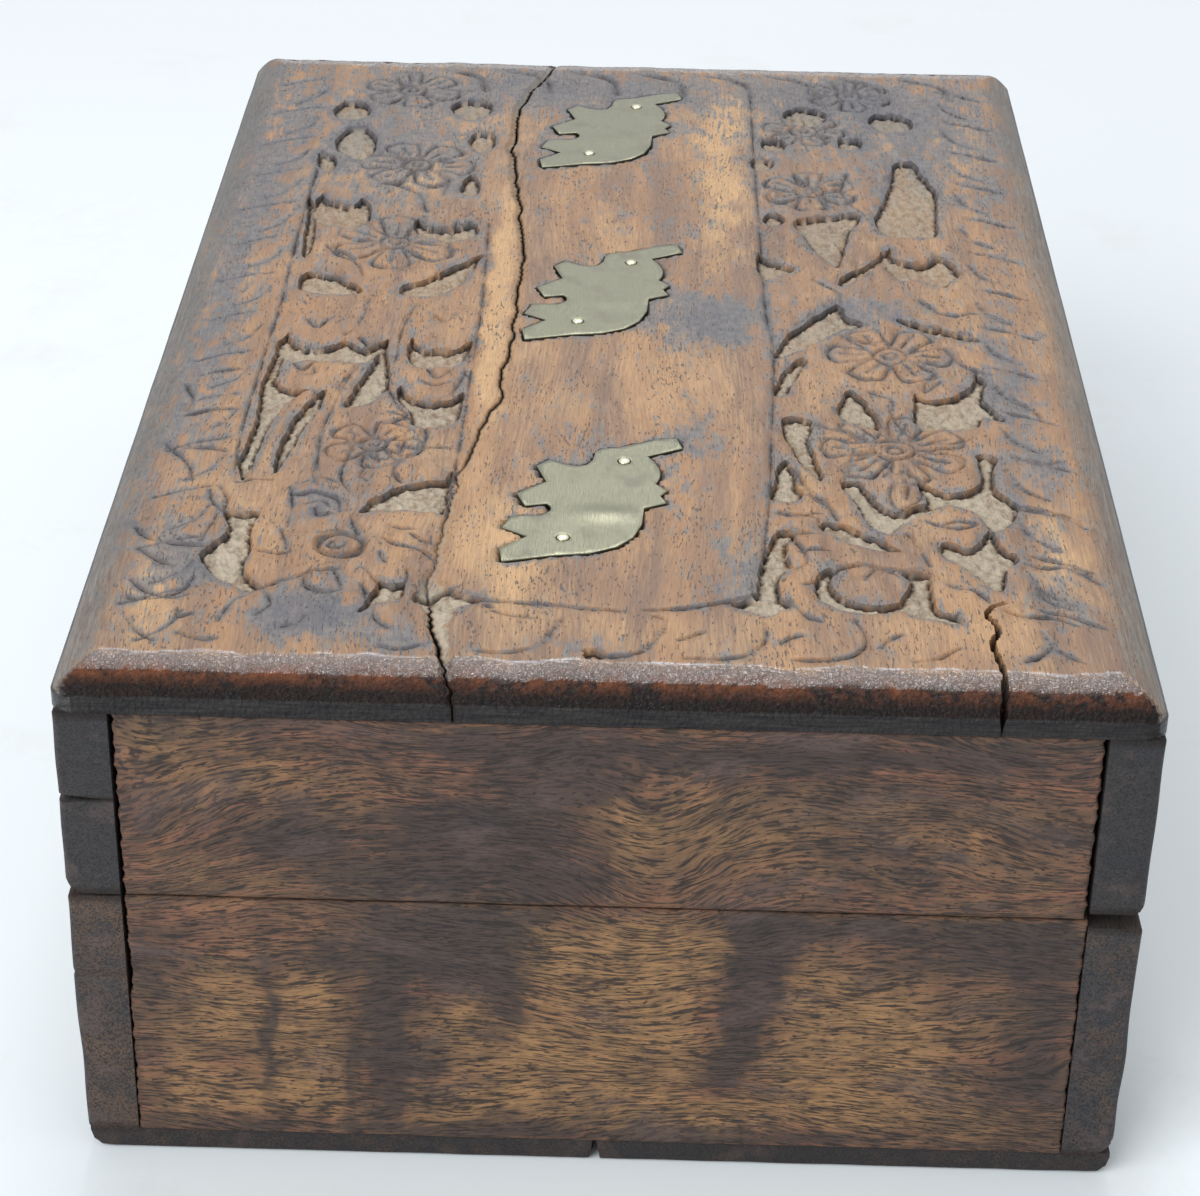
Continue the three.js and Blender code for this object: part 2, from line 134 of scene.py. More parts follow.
def seen_straight(tree):
    """1 for rays that look at a surface, 0 for rays that carry its light: the largest of three kinds."""
    looks = [add(tree, "ShaderNodeLightPath", {}, kind)
             for kind in ("Is Camera Ray", "Is Glossy Ray", "Is Transmission Ray")]
    most = add(tree, "ShaderNodeMath", {0: looks[0], 1: looks[1]}, operation="MAXIMUM")
    return add(tree, "ShaderNodeMath", {0: most, 1: looks[2]}, operation="MAXIMUM")


table_mesh = bpy.data.meshes.new("table")
table_corners = [(-TABLE_HALF, -TABLE_HALF, 0), (TABLE_HALF, -TABLE_HALF, 0),
                 (TABLE_HALF, TABLE_HALF, 0), (-TABLE_HALF, TABLE_HALF, 0)]
table_mesh.from_pydata(table_corners, [], [(0, 1, 2, 3)])
table = bpy.data.objects.new("table", table_mesh)
scene.collection.objects.link(table)
table_paint, tree = empty_material("white_laminate")
place = add(tree, "ShaderNodeTexCoord", {}, "Object")
along = add(tree, "ShaderNodeSeparateXYZ", {0: place}, "X")
# Under and in front of the box the table is painted lighter for camera rays: painted light over its shade.
near = add(tree, "ShaderNodeMapRange", {"Value": along, "From Min": PAINTED_LIGHT_STARTS, "From Max": PAINTED_LIGHT_ENDS})
near = add(tree, "ShaderNodeMath", {0: near, 1: seen_straight(tree)}, operation="MULTIPLY")
paint = add(tree, "ShaderNodeMix", {0: near, 6: linear(TABLE_COLOUR), 7: linear(TABLE_PAINTED_LIGHT_NEAR)}, 2,
            data_type="RGBA")
smear = add(tree, "ShaderNodeTexNoise", {"Vector": place, "Scale": 22.0, "Detail": 8.0, "Roughness": 0.7})
smear = add(tree, "ShaderNodeMapRange", {"Value": smear, "From Min": 0.55, "From Max": 0.75, "To Max": 0.3})
paint = add(tree, "ShaderNodeMix", {0: smear, 6: paint, 7: linear(SMEAR_COLOUR)}, 2, data_type="RGBA")
shader = add(tree, "ShaderNodeBsdfPrincipled", {"Base Color": paint, "Roughness": 0.5})
add(tree, "ShaderNodeOutputMaterial", {"Surface": shader})
table_mesh.materials.append(table_paint)

world = bpy.data.worlds.new("white_room")
scene.world = world
world.use_nodes = True
tree = world.node_tree
tree.nodes.clear()
strength = add(tree, "ShaderNodeMapRange", {"Value": seen_straight(tree), "To Min": 0.6, "To Max": 1.0})
sky = add(tree, "ShaderNodeBackground", {"Color": linear(SKY_COLOUR), "Strength": strength})
add(tree, "ShaderNodeOutputWorld", {"Surface": sky})


def lamp(name, place, aim, size, watts):
    """A soft lamp at `place`, turned towards `aim`. Its size is along and across the line to the box."""
    data = bpy.data.lights.new(name, "AREA")
    data.shape = "RECTANGLE"
    data.size, data.size_y = size
    data.energy = watts
    made = bpy.data.objects.new(name, data)
    scene.collection.objects.link(made)
    made.location = place
    away = np.array(place) - np.array(aim)
    turn = math.atan2(away[1], away[0])
    tilt = math.atan2(math.hypot(away[0], away[1]), away[2])
    made.rotation_euler = (0, tilt, turn)
    return made


lamp("window", (-0.84, 0.04, 1.17), (0, 0, 0.07), (0.4, 0.36), 5.0)
lamp("far_window", (-1.057, 0.0, 0.824), (0.062, 0, 0.069), (0.12, 0.3), 0.3)
lamp("room", (1.1, -0.95, 1.1), (0, 0, 0.03), (1.3, 1.3), 22.5)

# %% [markdown]
# ## Closed boards
# Every board is one closed mesh. Its show face is a grid of points that numpy works out at once: flat wood,
# minus a moulding, minus carving, minus cracks. The rim of the grid is copied straight back onto the plane
# behind the board, and strips close the walls and the back. The face is smooth and the walls stay crisp.


# %% The board builder
CRISP_EDGE = math.radians(48)


def mesh_object(name, points, faces, smooth_count, crisp=True):
    """A mesh object from points in mm. Its first faces are smooth, but if `crisp` not over sharp edges."""
    mesh = bpy.data.meshes.new(name)
    mesh.from_pydata((np.asarray(points) * MM).tolist(), [], faces)
    mesh.polygons.foreach_set("use_smooth", np.arange(len(faces)) < smooth_count)
    if crisp:
        mesh.set_sharp_from_angle(angle=CRISP_EDGE)
    mesh.update()
    made = bpy.data.objects.new(name, mesh)
    scene.collection.objects.link(made)
    return made


def enclosed_volume(points, faces):
    """Volume inside four-cornered faces: a sixth of the sum of the corner triple products of their halves."""
    a, b, c, d = (points[faces[:, k]] for k in range(4))
    return ((a * np.cross(b, c)).sum(1) + (a * np.cross(c, d)).sum(1)).sum() / 6


def halves(quads, height):
    """Cuts quads in two along the diagonal whose ends are nearer in height, so that edges stay clean."""
    level = height[quads]
    first = (abs(level[:, 0] - level[:, 2]) <= abs(level[:, 1] - level[:, 3]))[:, None]
    return np.vstack([np.where(first, quads[:, [0, 1, 2]], quads[:, [0, 1, 3]]),
                      np.where(first, quads[:, [0, 2, 3]], quads[:, [1, 2, 3]])])


HEM = 0.8
INSIDE_MARKS = {"stain": 0.3, "figure": 0.25, "grime_and_painted_shade": 0.08}


def closed_board(name, face, axis, plane, marks):
    """Closes a board. `face` is an n by m grid of points, and the back lies at `plane` on `axis`.

    The back has a hem: its outline, and the same outline drawn in by HEM mm, where inside marks begin."""
    n, m = face.shape[:2]
    index = np.arange(n * m).reshape(n, m)
    rim = np.concatenate([index[:-1, 0], index[-1, :-1], index[:0:-1, -1], index[0, :0:-1]])
    back = face.reshape(-1, 3)[rim].copy()
    back[:, axis] = plane
    middle = (back.max(0) + back.min(0)) / 2
    hem = middle + (back - middle) * (1 - 2 * HEM / np.maximum(back.max(0) - back.min(0), 10 * HEM))
    hem[:, axis] = plane
    points = np.vstack([face.reshape(-1, 3), back, hem])
    top = np.stack([index[:-1, :-1], index[1:, :-1], index[1:, 1:], index[:-1, 1:]], -1).reshape(-1, 4)
    below = n * m + np.arange(len(rim))
    drawn_in = below + len(rim)
    walls = np.vstack([np.stack([rim, below, np.roll(below, -1), np.roll(rim, -1)], -1),
                       np.stack([below, drawn_in, np.roll(drawn_in, -1), np.roll(below, -1)], -1)])
    left = drawn_in[:n]
    right = drawn_in[(2 * n + m - 3 - np.arange(n)) % len(rim)]
    strips = np.stack([left[1:-2], right[1:-2], right[2:-1], left[2:-1]], -1)
    first = [*drawn_in[2 * n + m - 3:].tolist(), int(left[0]), int(left[1]), int(right[1])]
    last = [int(left[-2]), *drawn_in[n - 1:n + m - 1].tolist(), int(right[-2])]
    turn = -1 if enclosed_volume(points, np.vstack([top, walls, strips])) < 0 else 1
    top = halves(top, points[:, axis])[:, ::turn]
    rest = np.vstack([walls, strips])[:, ::turn].tolist() + [first[::-turn], last[::-turn]]
    made = mesh_object(name, points, top.tolist() + rest, len(top))
    for mark, values in marks.items():
        values = np.asarray(values, float)
        flat = values.reshape(n * m, -1)
        give_mark(made, mark, np.vstack([flat, flat[rim], 0 * flat[rim] + INSIDE_MARKS.get(mark, 0)]))
    give_mark(made, "grain", grain_space(points, GRAIN_AXIS[name_group(name)]))
    print(name, "triangles", len(top) + 2 * len(rest) + n + m)
    return made


def give_mark(made, mark, values):
    """Stores one number, or one vector, at each point of the mesh."""
    values = np.asarray(values, np.float32)
    kind = "FLOAT_VECTOR" if values.shape[-1] == 3 and values.ndim == 2 else "FLOAT"
    layer = made.data.attributes.new(mark, kind, "POINT")
    layer.data.foreach_set("vector" if kind == "FLOAT_VECTOR" else "value", values.ravel())


# %% [markdown]
# ## Grain and unevenness
# Colour follows growth, so each point of a board gets its place along, across and through the grain, bent a
# little as a tree grows. A picture of wood laid over the boards would be another way, but it would repeat and
# wouldn't run through an edge. What is uneven on the box is made from a few sine waves of random directions.


# %% Grain directions
GRAIN_AXIS = {"end": (1, 2, 0), "long": (0, 2, 1), "flat": (0, 1, 2)}


def name_group(name):
    """End boards have their grain across the box, long boards and flat ones along it."""
    return "end" if "end_board" in name else "flat" if "top" in name or "bottom" in name else "long"


KNOTS = [
    (-58, 50, 9, 12, 9), (6, 44, 5, 9, 12), (20, 56, -4, 9, 6), (-2, 26, 2.0, 14, 9), (16, 10, -2, 12, 8),
]


def grain_space(points, axes):
    """Points as (along, across, through) the grain in mm, bent as a tree grows, most in the end boards."""
    along, across, through = (points[:, a] for a in axes)
    seed = 3.7 * points[:, axes[2]].mean()
    bend = 0.9 * waves(along / 70, across / 30, seed) + 0.12 * waves(along / 16, across / 8, seed + 5)
    if axes == GRAIN_AXIS["end"]:
        bend = 1.6 * waves(along / 40, across / 24, seed) + 0.2 * waves(along / 12, across / 6, seed + 5)
        for a, b, lift, wide, tall in KNOTS:
            bend = bend + lift * np.exp(-((along - a) / wide) ** 2 - ((across - b) / tall) ** 2)
    return np.stack([along, across + bend, through], -1)


WAVE_COUNT = 7


def waves(a, b, seed):
    """Smooth unevenness, mostly between -1 and 1: sine waves of random directions, near 1 long, added up."""
    random = np.random.default_rng(int(abs(seed) * 1000) % 99991)
    total = np.zeros(np.broadcast(a, b).shape)
    for _ in range(WAVE_COUNT):
        angle, phase = random.uniform(0, 2 * math.pi), random.uniform(0, 2 * math.pi)
        pitch = random.uniform(0.6, 1.6)
        total += np.sin(2 * math.pi * pitch * (a * math.cos(angle) + b * math.sin(angle)) + phase)
    return total / math.sqrt(WAVE_COUNT) / 1.2


def ease(value):
    """0 below 0, 1 above 1, and 3v^2 - 2v^3 between."""
    v = np.clip(value, 0, 1)
    return v * v * (3 - 2 * v)


def lines(low, high, step, edge=0.0):
    """Grid lines from low to high, with three more close inside each edge, where it is rounded over."""
    close = edge * (1 - np.cos(np.linspace(0, math.pi / 2, 4)))[:-1]
    middle = np.linspace(low + edge, high - edge, max(2, round((high - low - 2 * edge) / step) + 1))
    return np.concatenate([low + close, middle, (high - close)[::-1]]) if edge else middle


def rounding(a, b, a_range, b_range, radius):
    """How far a face drops at its worn edges: a ball of that radius rolled round inside them."""
    da = np.maximum(radius - np.minimum(a - a_range[0], a_range[1] - a), 0)
    db = np.maximum(radius - np.minimum(b - b_range[0], b_range[1] - b), 0)
    return radius - np.sqrt(np.maximum(radius ** 2 - da ** 2 - db ** 2, 0))


def box_mm(node):
    """A node's lowest and highest corner in mm."""
    low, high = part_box(node)
    return np.array(low) / MM, np.array(high) / MM


trial_waves = waves(np.linspace(0, 50, 500), np.zeros(500), 1)
print("waves run from", round(float(trial_waves.min()), 2), "to", round(float(trial_waves.max()), 2))

# %% [markdown]
# ## Curves and carving tools
# A carver draws the outline, stabs down along it with a gouge and clears the ground between. Here each
# outline is a few points with a smooth curve through them. The distance from the outline gives the depth:
# a steep wall first, then an uneven floor. A cut line is a V that follows a curve.


# %% Smooth curves
def smooth_path(points, closed=False):
    """A Catmull-Rom curve: cubic pieces whose slope at a point is half the chord between its neighbours."""
    p = np.asarray(points, float)
    if closed:
        before, start, end, after = (np.roll(p, k, 0) for k in (1, 0, -1, -2))
    else:
        longer = np.vstack([2 * p[0] - p[1], p, 2 * p[-1] - p[-2]])
        before, start, end, after = longer[:-3], longer[1:-2], longer[2:-1], longer[3:]
    t = np.linspace(0, 1, 5, endpoint=False)[None, :, None]
    b, s, e, a = (q[:, None, :] for q in (before, start, end, after))
    curve = 0.5 * (2 * s + (e - b) * t + (2 * b - 5 * s + 4 * e - a) * t ** 2
                   + (3 * s - b - 3 * e + a) * t ** 3)
    curve = curve.reshape(-1, 2)
    return np.vstack([curve, curve[:1] if closed else p[-1:]])


def shut(loop):
    """A loop of points with the first one added again at its end."""
    return np.vstack([loop, loop[:1]])


TRIAL_POINTS = [(0, 0), (10, 0), (10, 10), (0, 10)]
TRIAL_MIDDLE = np.array([[5.0], [5.0]])
trial_loop = smooth_path(TRIAL_POINTS, closed=True)
print("a smooth loop through four corners has", len(trial_loop), "points")


# %% Distances from a curve
def met_square(path, x, y):
    """For each piece of a broken line: its start, its run, the gap to (x, y), and the share of the run at
    which a square line from (x, y) meets it: gap times run over run squared, held from 0 to 1."""
    start, run = path[:-1, None, :], np.diff(path, axis=0)[:, None, :]
    gap = np.stack([x, y], -1)[None] - start
    share = np.clip((gap * run).sum(-1) / np.maximum((run ** 2).sum(-1), 1e-9), 0, 1)
    return start, run, gap, share


def distance_to(path, x, y):
    """Least distance to a broken line: to the nearest of its pieces, met square on or at its end."""
    _, run, gap, share = met_square(path, x, y)
    return np.sqrt(((gap - share[..., None] * run) ** 2).sum(-1)).min(0)


def nearest_on(path, x, y):
    """The nearest point of a broken line to each (x, y), and its distance."""
    start, run, _, share = met_square(path, x, y)
    foot = start + share[..., None] * run
    far = np.hypot(foot[..., 0] - x, foot[..., 1] - y)
    best = far.argmin(0)
    pick = np.arange(len(best))
    return foot[best, pick], far[best, pick]


print("the loop runs", distance_to(trial_loop, *TRIAL_MIDDLE).round(2), "mm from its middle")


# %% Inside and beside a curve
def inside(path, x, y):
    """True where a ray along +x crosses the closed path an odd number of times."""
    (ax, ay), (bx, by) = path[:-1].T[:, :, None], path[1:].T[:, :, None]
    spans = (ay > y) != (by > y)
    reach = ax + (y - ay) * (bx - ax) / np.where(by == ay, 1e-9, by - ay)
    return (spans & (x < reach)).sum(0) % 2 == 1


def beside(path, x, y, reach):
    """Which grid points lie within `reach` of the box round a path."""
    (x0, y0), (x1, y1) = path.min(0) - reach, path.max(0) + reach
    return (x > x0) & (x < x1) & (y > y0) & (y < y1)


print("its middle lies inside it:", inside(trial_loop, *TRIAL_MIDDLE))

# %% Outlines as old wood keeps them
CRUMB = 0.45


def crumbled(outline):
    """A smooth outline as old wood keeps it: its points moved up to 0.2 mm where crumbs are gone."""
    path = smooth_path(outline, closed=True)
    x, y = path.T
    steps = np.hypot(*np.diff(path, axis=0).T)
    along = np.append(0, np.cumsum(steps))
    even = np.linspace(0, along[-1], max(8, round(along[-1] / CRUMB)))
    x, y = (np.interp(even, along, side) for side in (x, y))
    move_x = 0.1 * waves(x / 1.1, y / 1.1, 31) + 0.12 * waves(x / 4, y / 4, 32)
    move_y = 0.1 * waves(x / 1.1, y / 1.1, 34) + 0.12 * waves(x / 4, y / 4, 35)
    return shut(np.stack([x + move_x, y + move_y], -1)[:-1])


def set_in(path, width):
    """A closed outline moved inwards: each point goes square to the chord between its neighbours."""
    p = path[:-1]
    chord = np.roll(p, -1, 0) - np.roll(p, 1, 0)
    square = np.stack([-chord[:, 1], chord[:, 0]], -1) / np.maximum(np.hypot(*chord.T), 1e-9)[:, None]
    area = (p[:, 0] * np.roll(p[:, 1], -1) - np.roll(p[:, 0], -1) * p[:, 1]).sum()
    return shut(p + square * (width if area > 0 else -width))


def snap(x, y, paths, step):
    """Moves grid points that are near a cut onto it, so that its edge runs clean through them."""
    least = np.full(x.shape, 9.0)
    new_x, new_y = x.copy(), y.copy()
    for path in paths:
        near = beside(path, x, y, step)
        near[:, [0, -1]] = False
        near[[0, -1], :] = False
        if near.any():
            foot, far = nearest_on(path, x[near], y[near])
            closer = far < least[near]
            share = ease(2.6 - 2.6 * far / step)
            for old, new, k in ((x, new_x, 0), (y, new_y, 1)):
                new[near] = np.where(closer, old[near] + share * (foot[:, k] - old[near]), new[near])
            least[near] = np.minimum(least[near], far)
    return new_x, new_y


print("crumbled, the loop has", len(crumbled(TRIAL_POINTS)), "points")

# %% Carving tools
GROUND_DEPTH = 0.95
WALL_WIDTH = 0.3
SHOULDER_WIDTH = 1.5
SHOULDER_DROP = 0.24
LEAF_STEP = 0.16
STEP_FADE = 1.5


def deepen(relief, near, **parts):
    """Lays new relief over the old at the points `near`: the greater value of each kind stays."""
    for kind, value in parts.items():
        relief[kind][near] = np.maximum(relief[kind][near], value)


def cut_pocket(relief, path):
    """Lowers the ground inside a closed outline, with a steep wall and a rubbed shoulder outside it."""
    x, y = relief["x"], relief["y"]
    near = beside(path, x, y, SHOULDER_WIDTH + 1)
    px, py = x[near], y[near]
    far = distance_to(path, px, py) * np.where(inside(path, px, py), 1, -1)
    shoulder = SHOULDER_DROP * np.clip(1 + far / SHOULDER_WIDTH, 0, 1) ** 2
    floor = ease((far - 0.2) / 0.6 + 0.3 * waves(px / 1.6, py / 1.6, 36)) * (far > 0)
    deepen(relief, near, cut=GROUND_DEPTH * ease((far - 0.02) / WALL_WIDTH), shoulder=shoulder, floor=floor,
           halo=0.9 * np.exp(-(far / 1.3) ** 2))


def right_of(path, x, y):
    """1 right of a broken line, 0 left of it: the sign of the cross product. It fades towards open ends."""
    _, run, gap, share = met_square(path, x, y)
    best = np.hypot(*np.moveaxis(gap - share[..., None] * run, -1, 0)).argmin(0)
    pick = np.arange(len(best))
    turn = (run[..., 0] * gap[..., 1] - run[..., 1] * gap[..., 0])[best, pick]
    steps = np.hypot(*run[:, 0].T)
    along = (np.append(0, np.cumsum(steps))[:-1])[best] + share[best, pick] * steps[best]
    closed = np.hypot(*(path[0] - path[-1])) < 1e-6
    return (turn < 0) * (1.0 if closed else ease(np.minimum(along, steps.sum() - along) / STEP_FADE))


def cut_line(relief, path, width=0.5, depth=0.3):
    """A V cut along a curve: deepest on it, nothing at `width` away, rubbed low beside it and stepped down
    on its right, as the leaf below lies under the leaf above."""
    x, y = relief["x"], relief["y"]
    near = beside(path, x, y, 2.2)
    far = distance_to(path, x[near], y[near])
    uneven = 0.9 + 0.45 * waves(x[near] / 5, y[near] / 5, 33)
    v = np.clip(1 - far / width, 0, 1)
    shoulder = 0.5 * depth * uneven * np.clip(1 - far / 1.4, 0, 1) ** 2
    step = LEAF_STEP * uneven * np.exp(-(far / 1.5) ** 2) * right_of(path, x[near], y[near])
    # The line mark darkens the V: painted shade in the groove.
    line = ease(1.15 * v) * uneven * min(1.0, depth / 0.2)
    deepen(relief, near, halo=0.95 * uneven * np.exp(-(far / 0.75) ** 2), shoulder=shoulder, step=step,
           line=line, groove=depth * v * (0.5 + 0.5 * uneven))


print("ground", GROUND_DEPTH, "mm deep, with walls", WALL_WIDTH, "mm wide")


# %% Rings and flowers
def ring(centre, radius, count=10):
    """Points of a circle."""
    angle = np.linspace(0, 2 * math.pi, count, endpoint=False)
    return np.stack([centre[0] + radius * np.cos(angle), centre[1] + radius * np.sin(angle)], -1)


def flower(centre, eye, reach, petals, turn):
    """Cuts of a rosette: an eye of two rings, and petals that swell as the root of the sine of the angle.

    Each cut is its path, the width of its V and its depth."""
    cuts = [(smooth_path(ring(centre, eye), True), 0.5, 0.34),
            (smooth_path(ring(centre, eye * 0.4, 6), True), 0.4, 0.22)]
    for k in range(petals):
        middle = turn + 2 * math.pi * k / petals
        spread = np.linspace(-1, 1, 7)
        radius = eye + 0.5 + (reach - eye - 0.5) * np.sqrt(np.clip(1 - spread ** 2, 0, 1)) ** 0.7
        angle = middle + spread * math.pi / petals * 0.98
        petal = np.stack([centre[0] + radius * np.cos(angle), centre[1] + radius * np.sin(angle)], -1)
        vein = np.array([eye + 1.2, (eye + reach) * 0.62])[:, None]
        vein = vein * (math.cos(middle), math.sin(middle)) + centre
        cuts += [(smooth_path(petal), 0.4, 0.26), (smooth_path(vein), 0.3, 0.18)]
    return cuts


print("a flower of six petals takes", len(flower((0, 0), 2.2, 9.0, 6, 0.0)), "cuts")

# %% [markdown]
# ## The carved top: what is cut
# Two long fields of flowers, buds and leaves run beside a plain middle panel. Each list below is the
# outline of one patch of cleared ground, as (x, y) in millimetres on the lid, with x along the box.

# %% Cleared ground in the left field
LEFT_GROUND = [
    [(61.5, -48.5), (61.2, -46), (61.5, -44), (66, -44.5), (70, -43.9), (74, -44.3), (77, -43.6),
     (79.7, -41.4), (80.6, -42.6), (79.6, -45), (78, -47.2), (75.4, -48.8), (72, -50.2), (69.4, -48.9),
     (66, -47.4)],
    [(77.4, -27.8), (77.9, -26.5), (77.6, -25.2), (78.2, -24.6), (80, -24.4), (81.6, -25.2), (82.6, -27),
     (83.6, -28.3), (85.9, -30), (83.5, -29.4), (81.5, -29), (79.3, -28.4)],
    [(79.8, -23.6), (80, -22), (79, -21), (78.7, -19.9), (79.9, -17.5), (81.2, -14.9), (82, -15.6),
     (83, -17.8), (83.2, -19.8), (82, -21), (81.6, -23.4)],
    [(48.8, -20.9), (51.6, -21.9), (52.3, -24), (53.2, -26.2), (54.2, -27.8), (55.8, -29), (57.5, -30.8),
     (59.5, -31.6), (61.2, -31.8), (60.3, -29.5), (59.8, -26), (60.1, -23), (61, -21.3), (57, -20.9)],
    [(27, -39.4), (30, -39.2), (34, -40), (38, -41), (44, -41.8), (48, -42.5), (51.5, -43.3), (48, -43.9),
     (44, -43.8), (39, -43.3), (35, -42.6), (31, -41.3), (28.5, -40.5)],
    [(25, -48.3), (30, -48.1), (35, -47.8), (42, -48), (48, -48.5), (53, -47.4), (50, -46.6), (45, -46.1),
     (40, -45.8), (35, -45), (31, -44), (28.4, -42.4), (27.4, -41.4), (27.2, -43), (26.4, -45),
     (24.5, -46.8)],
    [(12, -47.3), (20, -47.7), (26, -48.3), (26.5, -46.6), (20, -46.1), (13, -46)],
    [(24.5, -29), (27, -28.8), (29, -27.4), (29.9, -24.8), (28.9, -22.3), (26.4, -20.9), (30, -20.7),
     (36, -21.4), (37.3, -24), (36.5, -27.2), (33, -27.8), (29.5, -29.5), (27, -29.9)],
    [(12, -33.2), (16, -33.6), (20, -34.2), (24, -35.2), (28, -36), (32, -36.6), (31.4, -33.8),
     (28, -31.8), (24, -31), (18, -31.6), (14, -32.2)],
    [(9, -46.3), (11.5, -45.8), (13.8, -44), (14.4, -41.5), (13.3, -39.6), (11.8, -38.4), (12.6, -37),
     (13.9, -35.6), (13, -34), (10.5, -32.2), (13, -32), (15.6, -33.4), (18.5, -34.5), (18.6, -38),
     (18.2, -42), (18.8, -45), (16, -47.2), (12.5, -47.2)],
    [(9, -28.6), (11.5, -28.7), (13.6, -27.2), (14.1, -25), (13.1, -22.5), (10, -20.6), (14, -20.8),
     (18, -21.6), (19.8, -25), (18.6, -28.6), (13, -29.6)],
    [(-18.5, -20.8), (-13, -21.9), (-8, -23.3), (-4.3, -26), (-3.4, -28.5), (-4, -31.8), (-7, -31.8),
     (-8.5, -29.6), (-11, -27.2), (-14.5, -24.4)],
    [(-11, -45.8), (-10, -43), (-9.5, -40.8), (-7.5, -39.4), (-5, -37.2), (-3.4, -38.5), (-3.4, -42),
     (-4.3, -45.8), (-7, -46.8)],
    [(-40, -46.5), (-37.5, -45.7), (-36, -44), (-36, -41.2), (-38.6, -40.4), (-36, -39), (-33, -38.4),
     (-30, -38.4), (-27.6, -41), (-27.6, -44), (-29, -46.5), (-34, -47.8)],
    [(-40, -49), (-34, -48.3), (-28, -48), (-20, -47.7), (-15, -46.9), (-20, -45.9), (-28, -46.3),
     (-35, -47.2)],
    [(-48.5, -23.9), (-44, -22.7), (-40.3, -23.4), (-41.5, -25.6), (-46, -25.5)],
    [(-31.5, -31.3), (-29, -30), (-27.8, -27.5), (-28.5, -25), (-30, -22.4), (-25, -22.2), (-23.4, -26),
     (-24.5, -30), (-28, -31.9)],
    [(-66, -45.6), (-60, -46.7), (-55, -44.7), (-54.2, -41.5), (-58, -40), (-63, -40.4), (-67.4, -42.5)],
    [(-66.4, -24.8), (-61, -25.6), (-58, -23.6), (-60, -21.4), (-65, -21.6)],
    [(-56, -49), (-50, -48.2), (-48.6, -46), (-54, -45.8)],
    [(-78, -47), (-73, -48.4), (-70, -45.6), (-72.6, -42.2), (-77.6, -43.4)],
    [(-80, -27.6), (-76, -29.4), (-72, -27), (-73.4, -23.4), (-78.6, -22.6)],
]
print(len(LEFT_GROUND), "patches of ground in the left field")

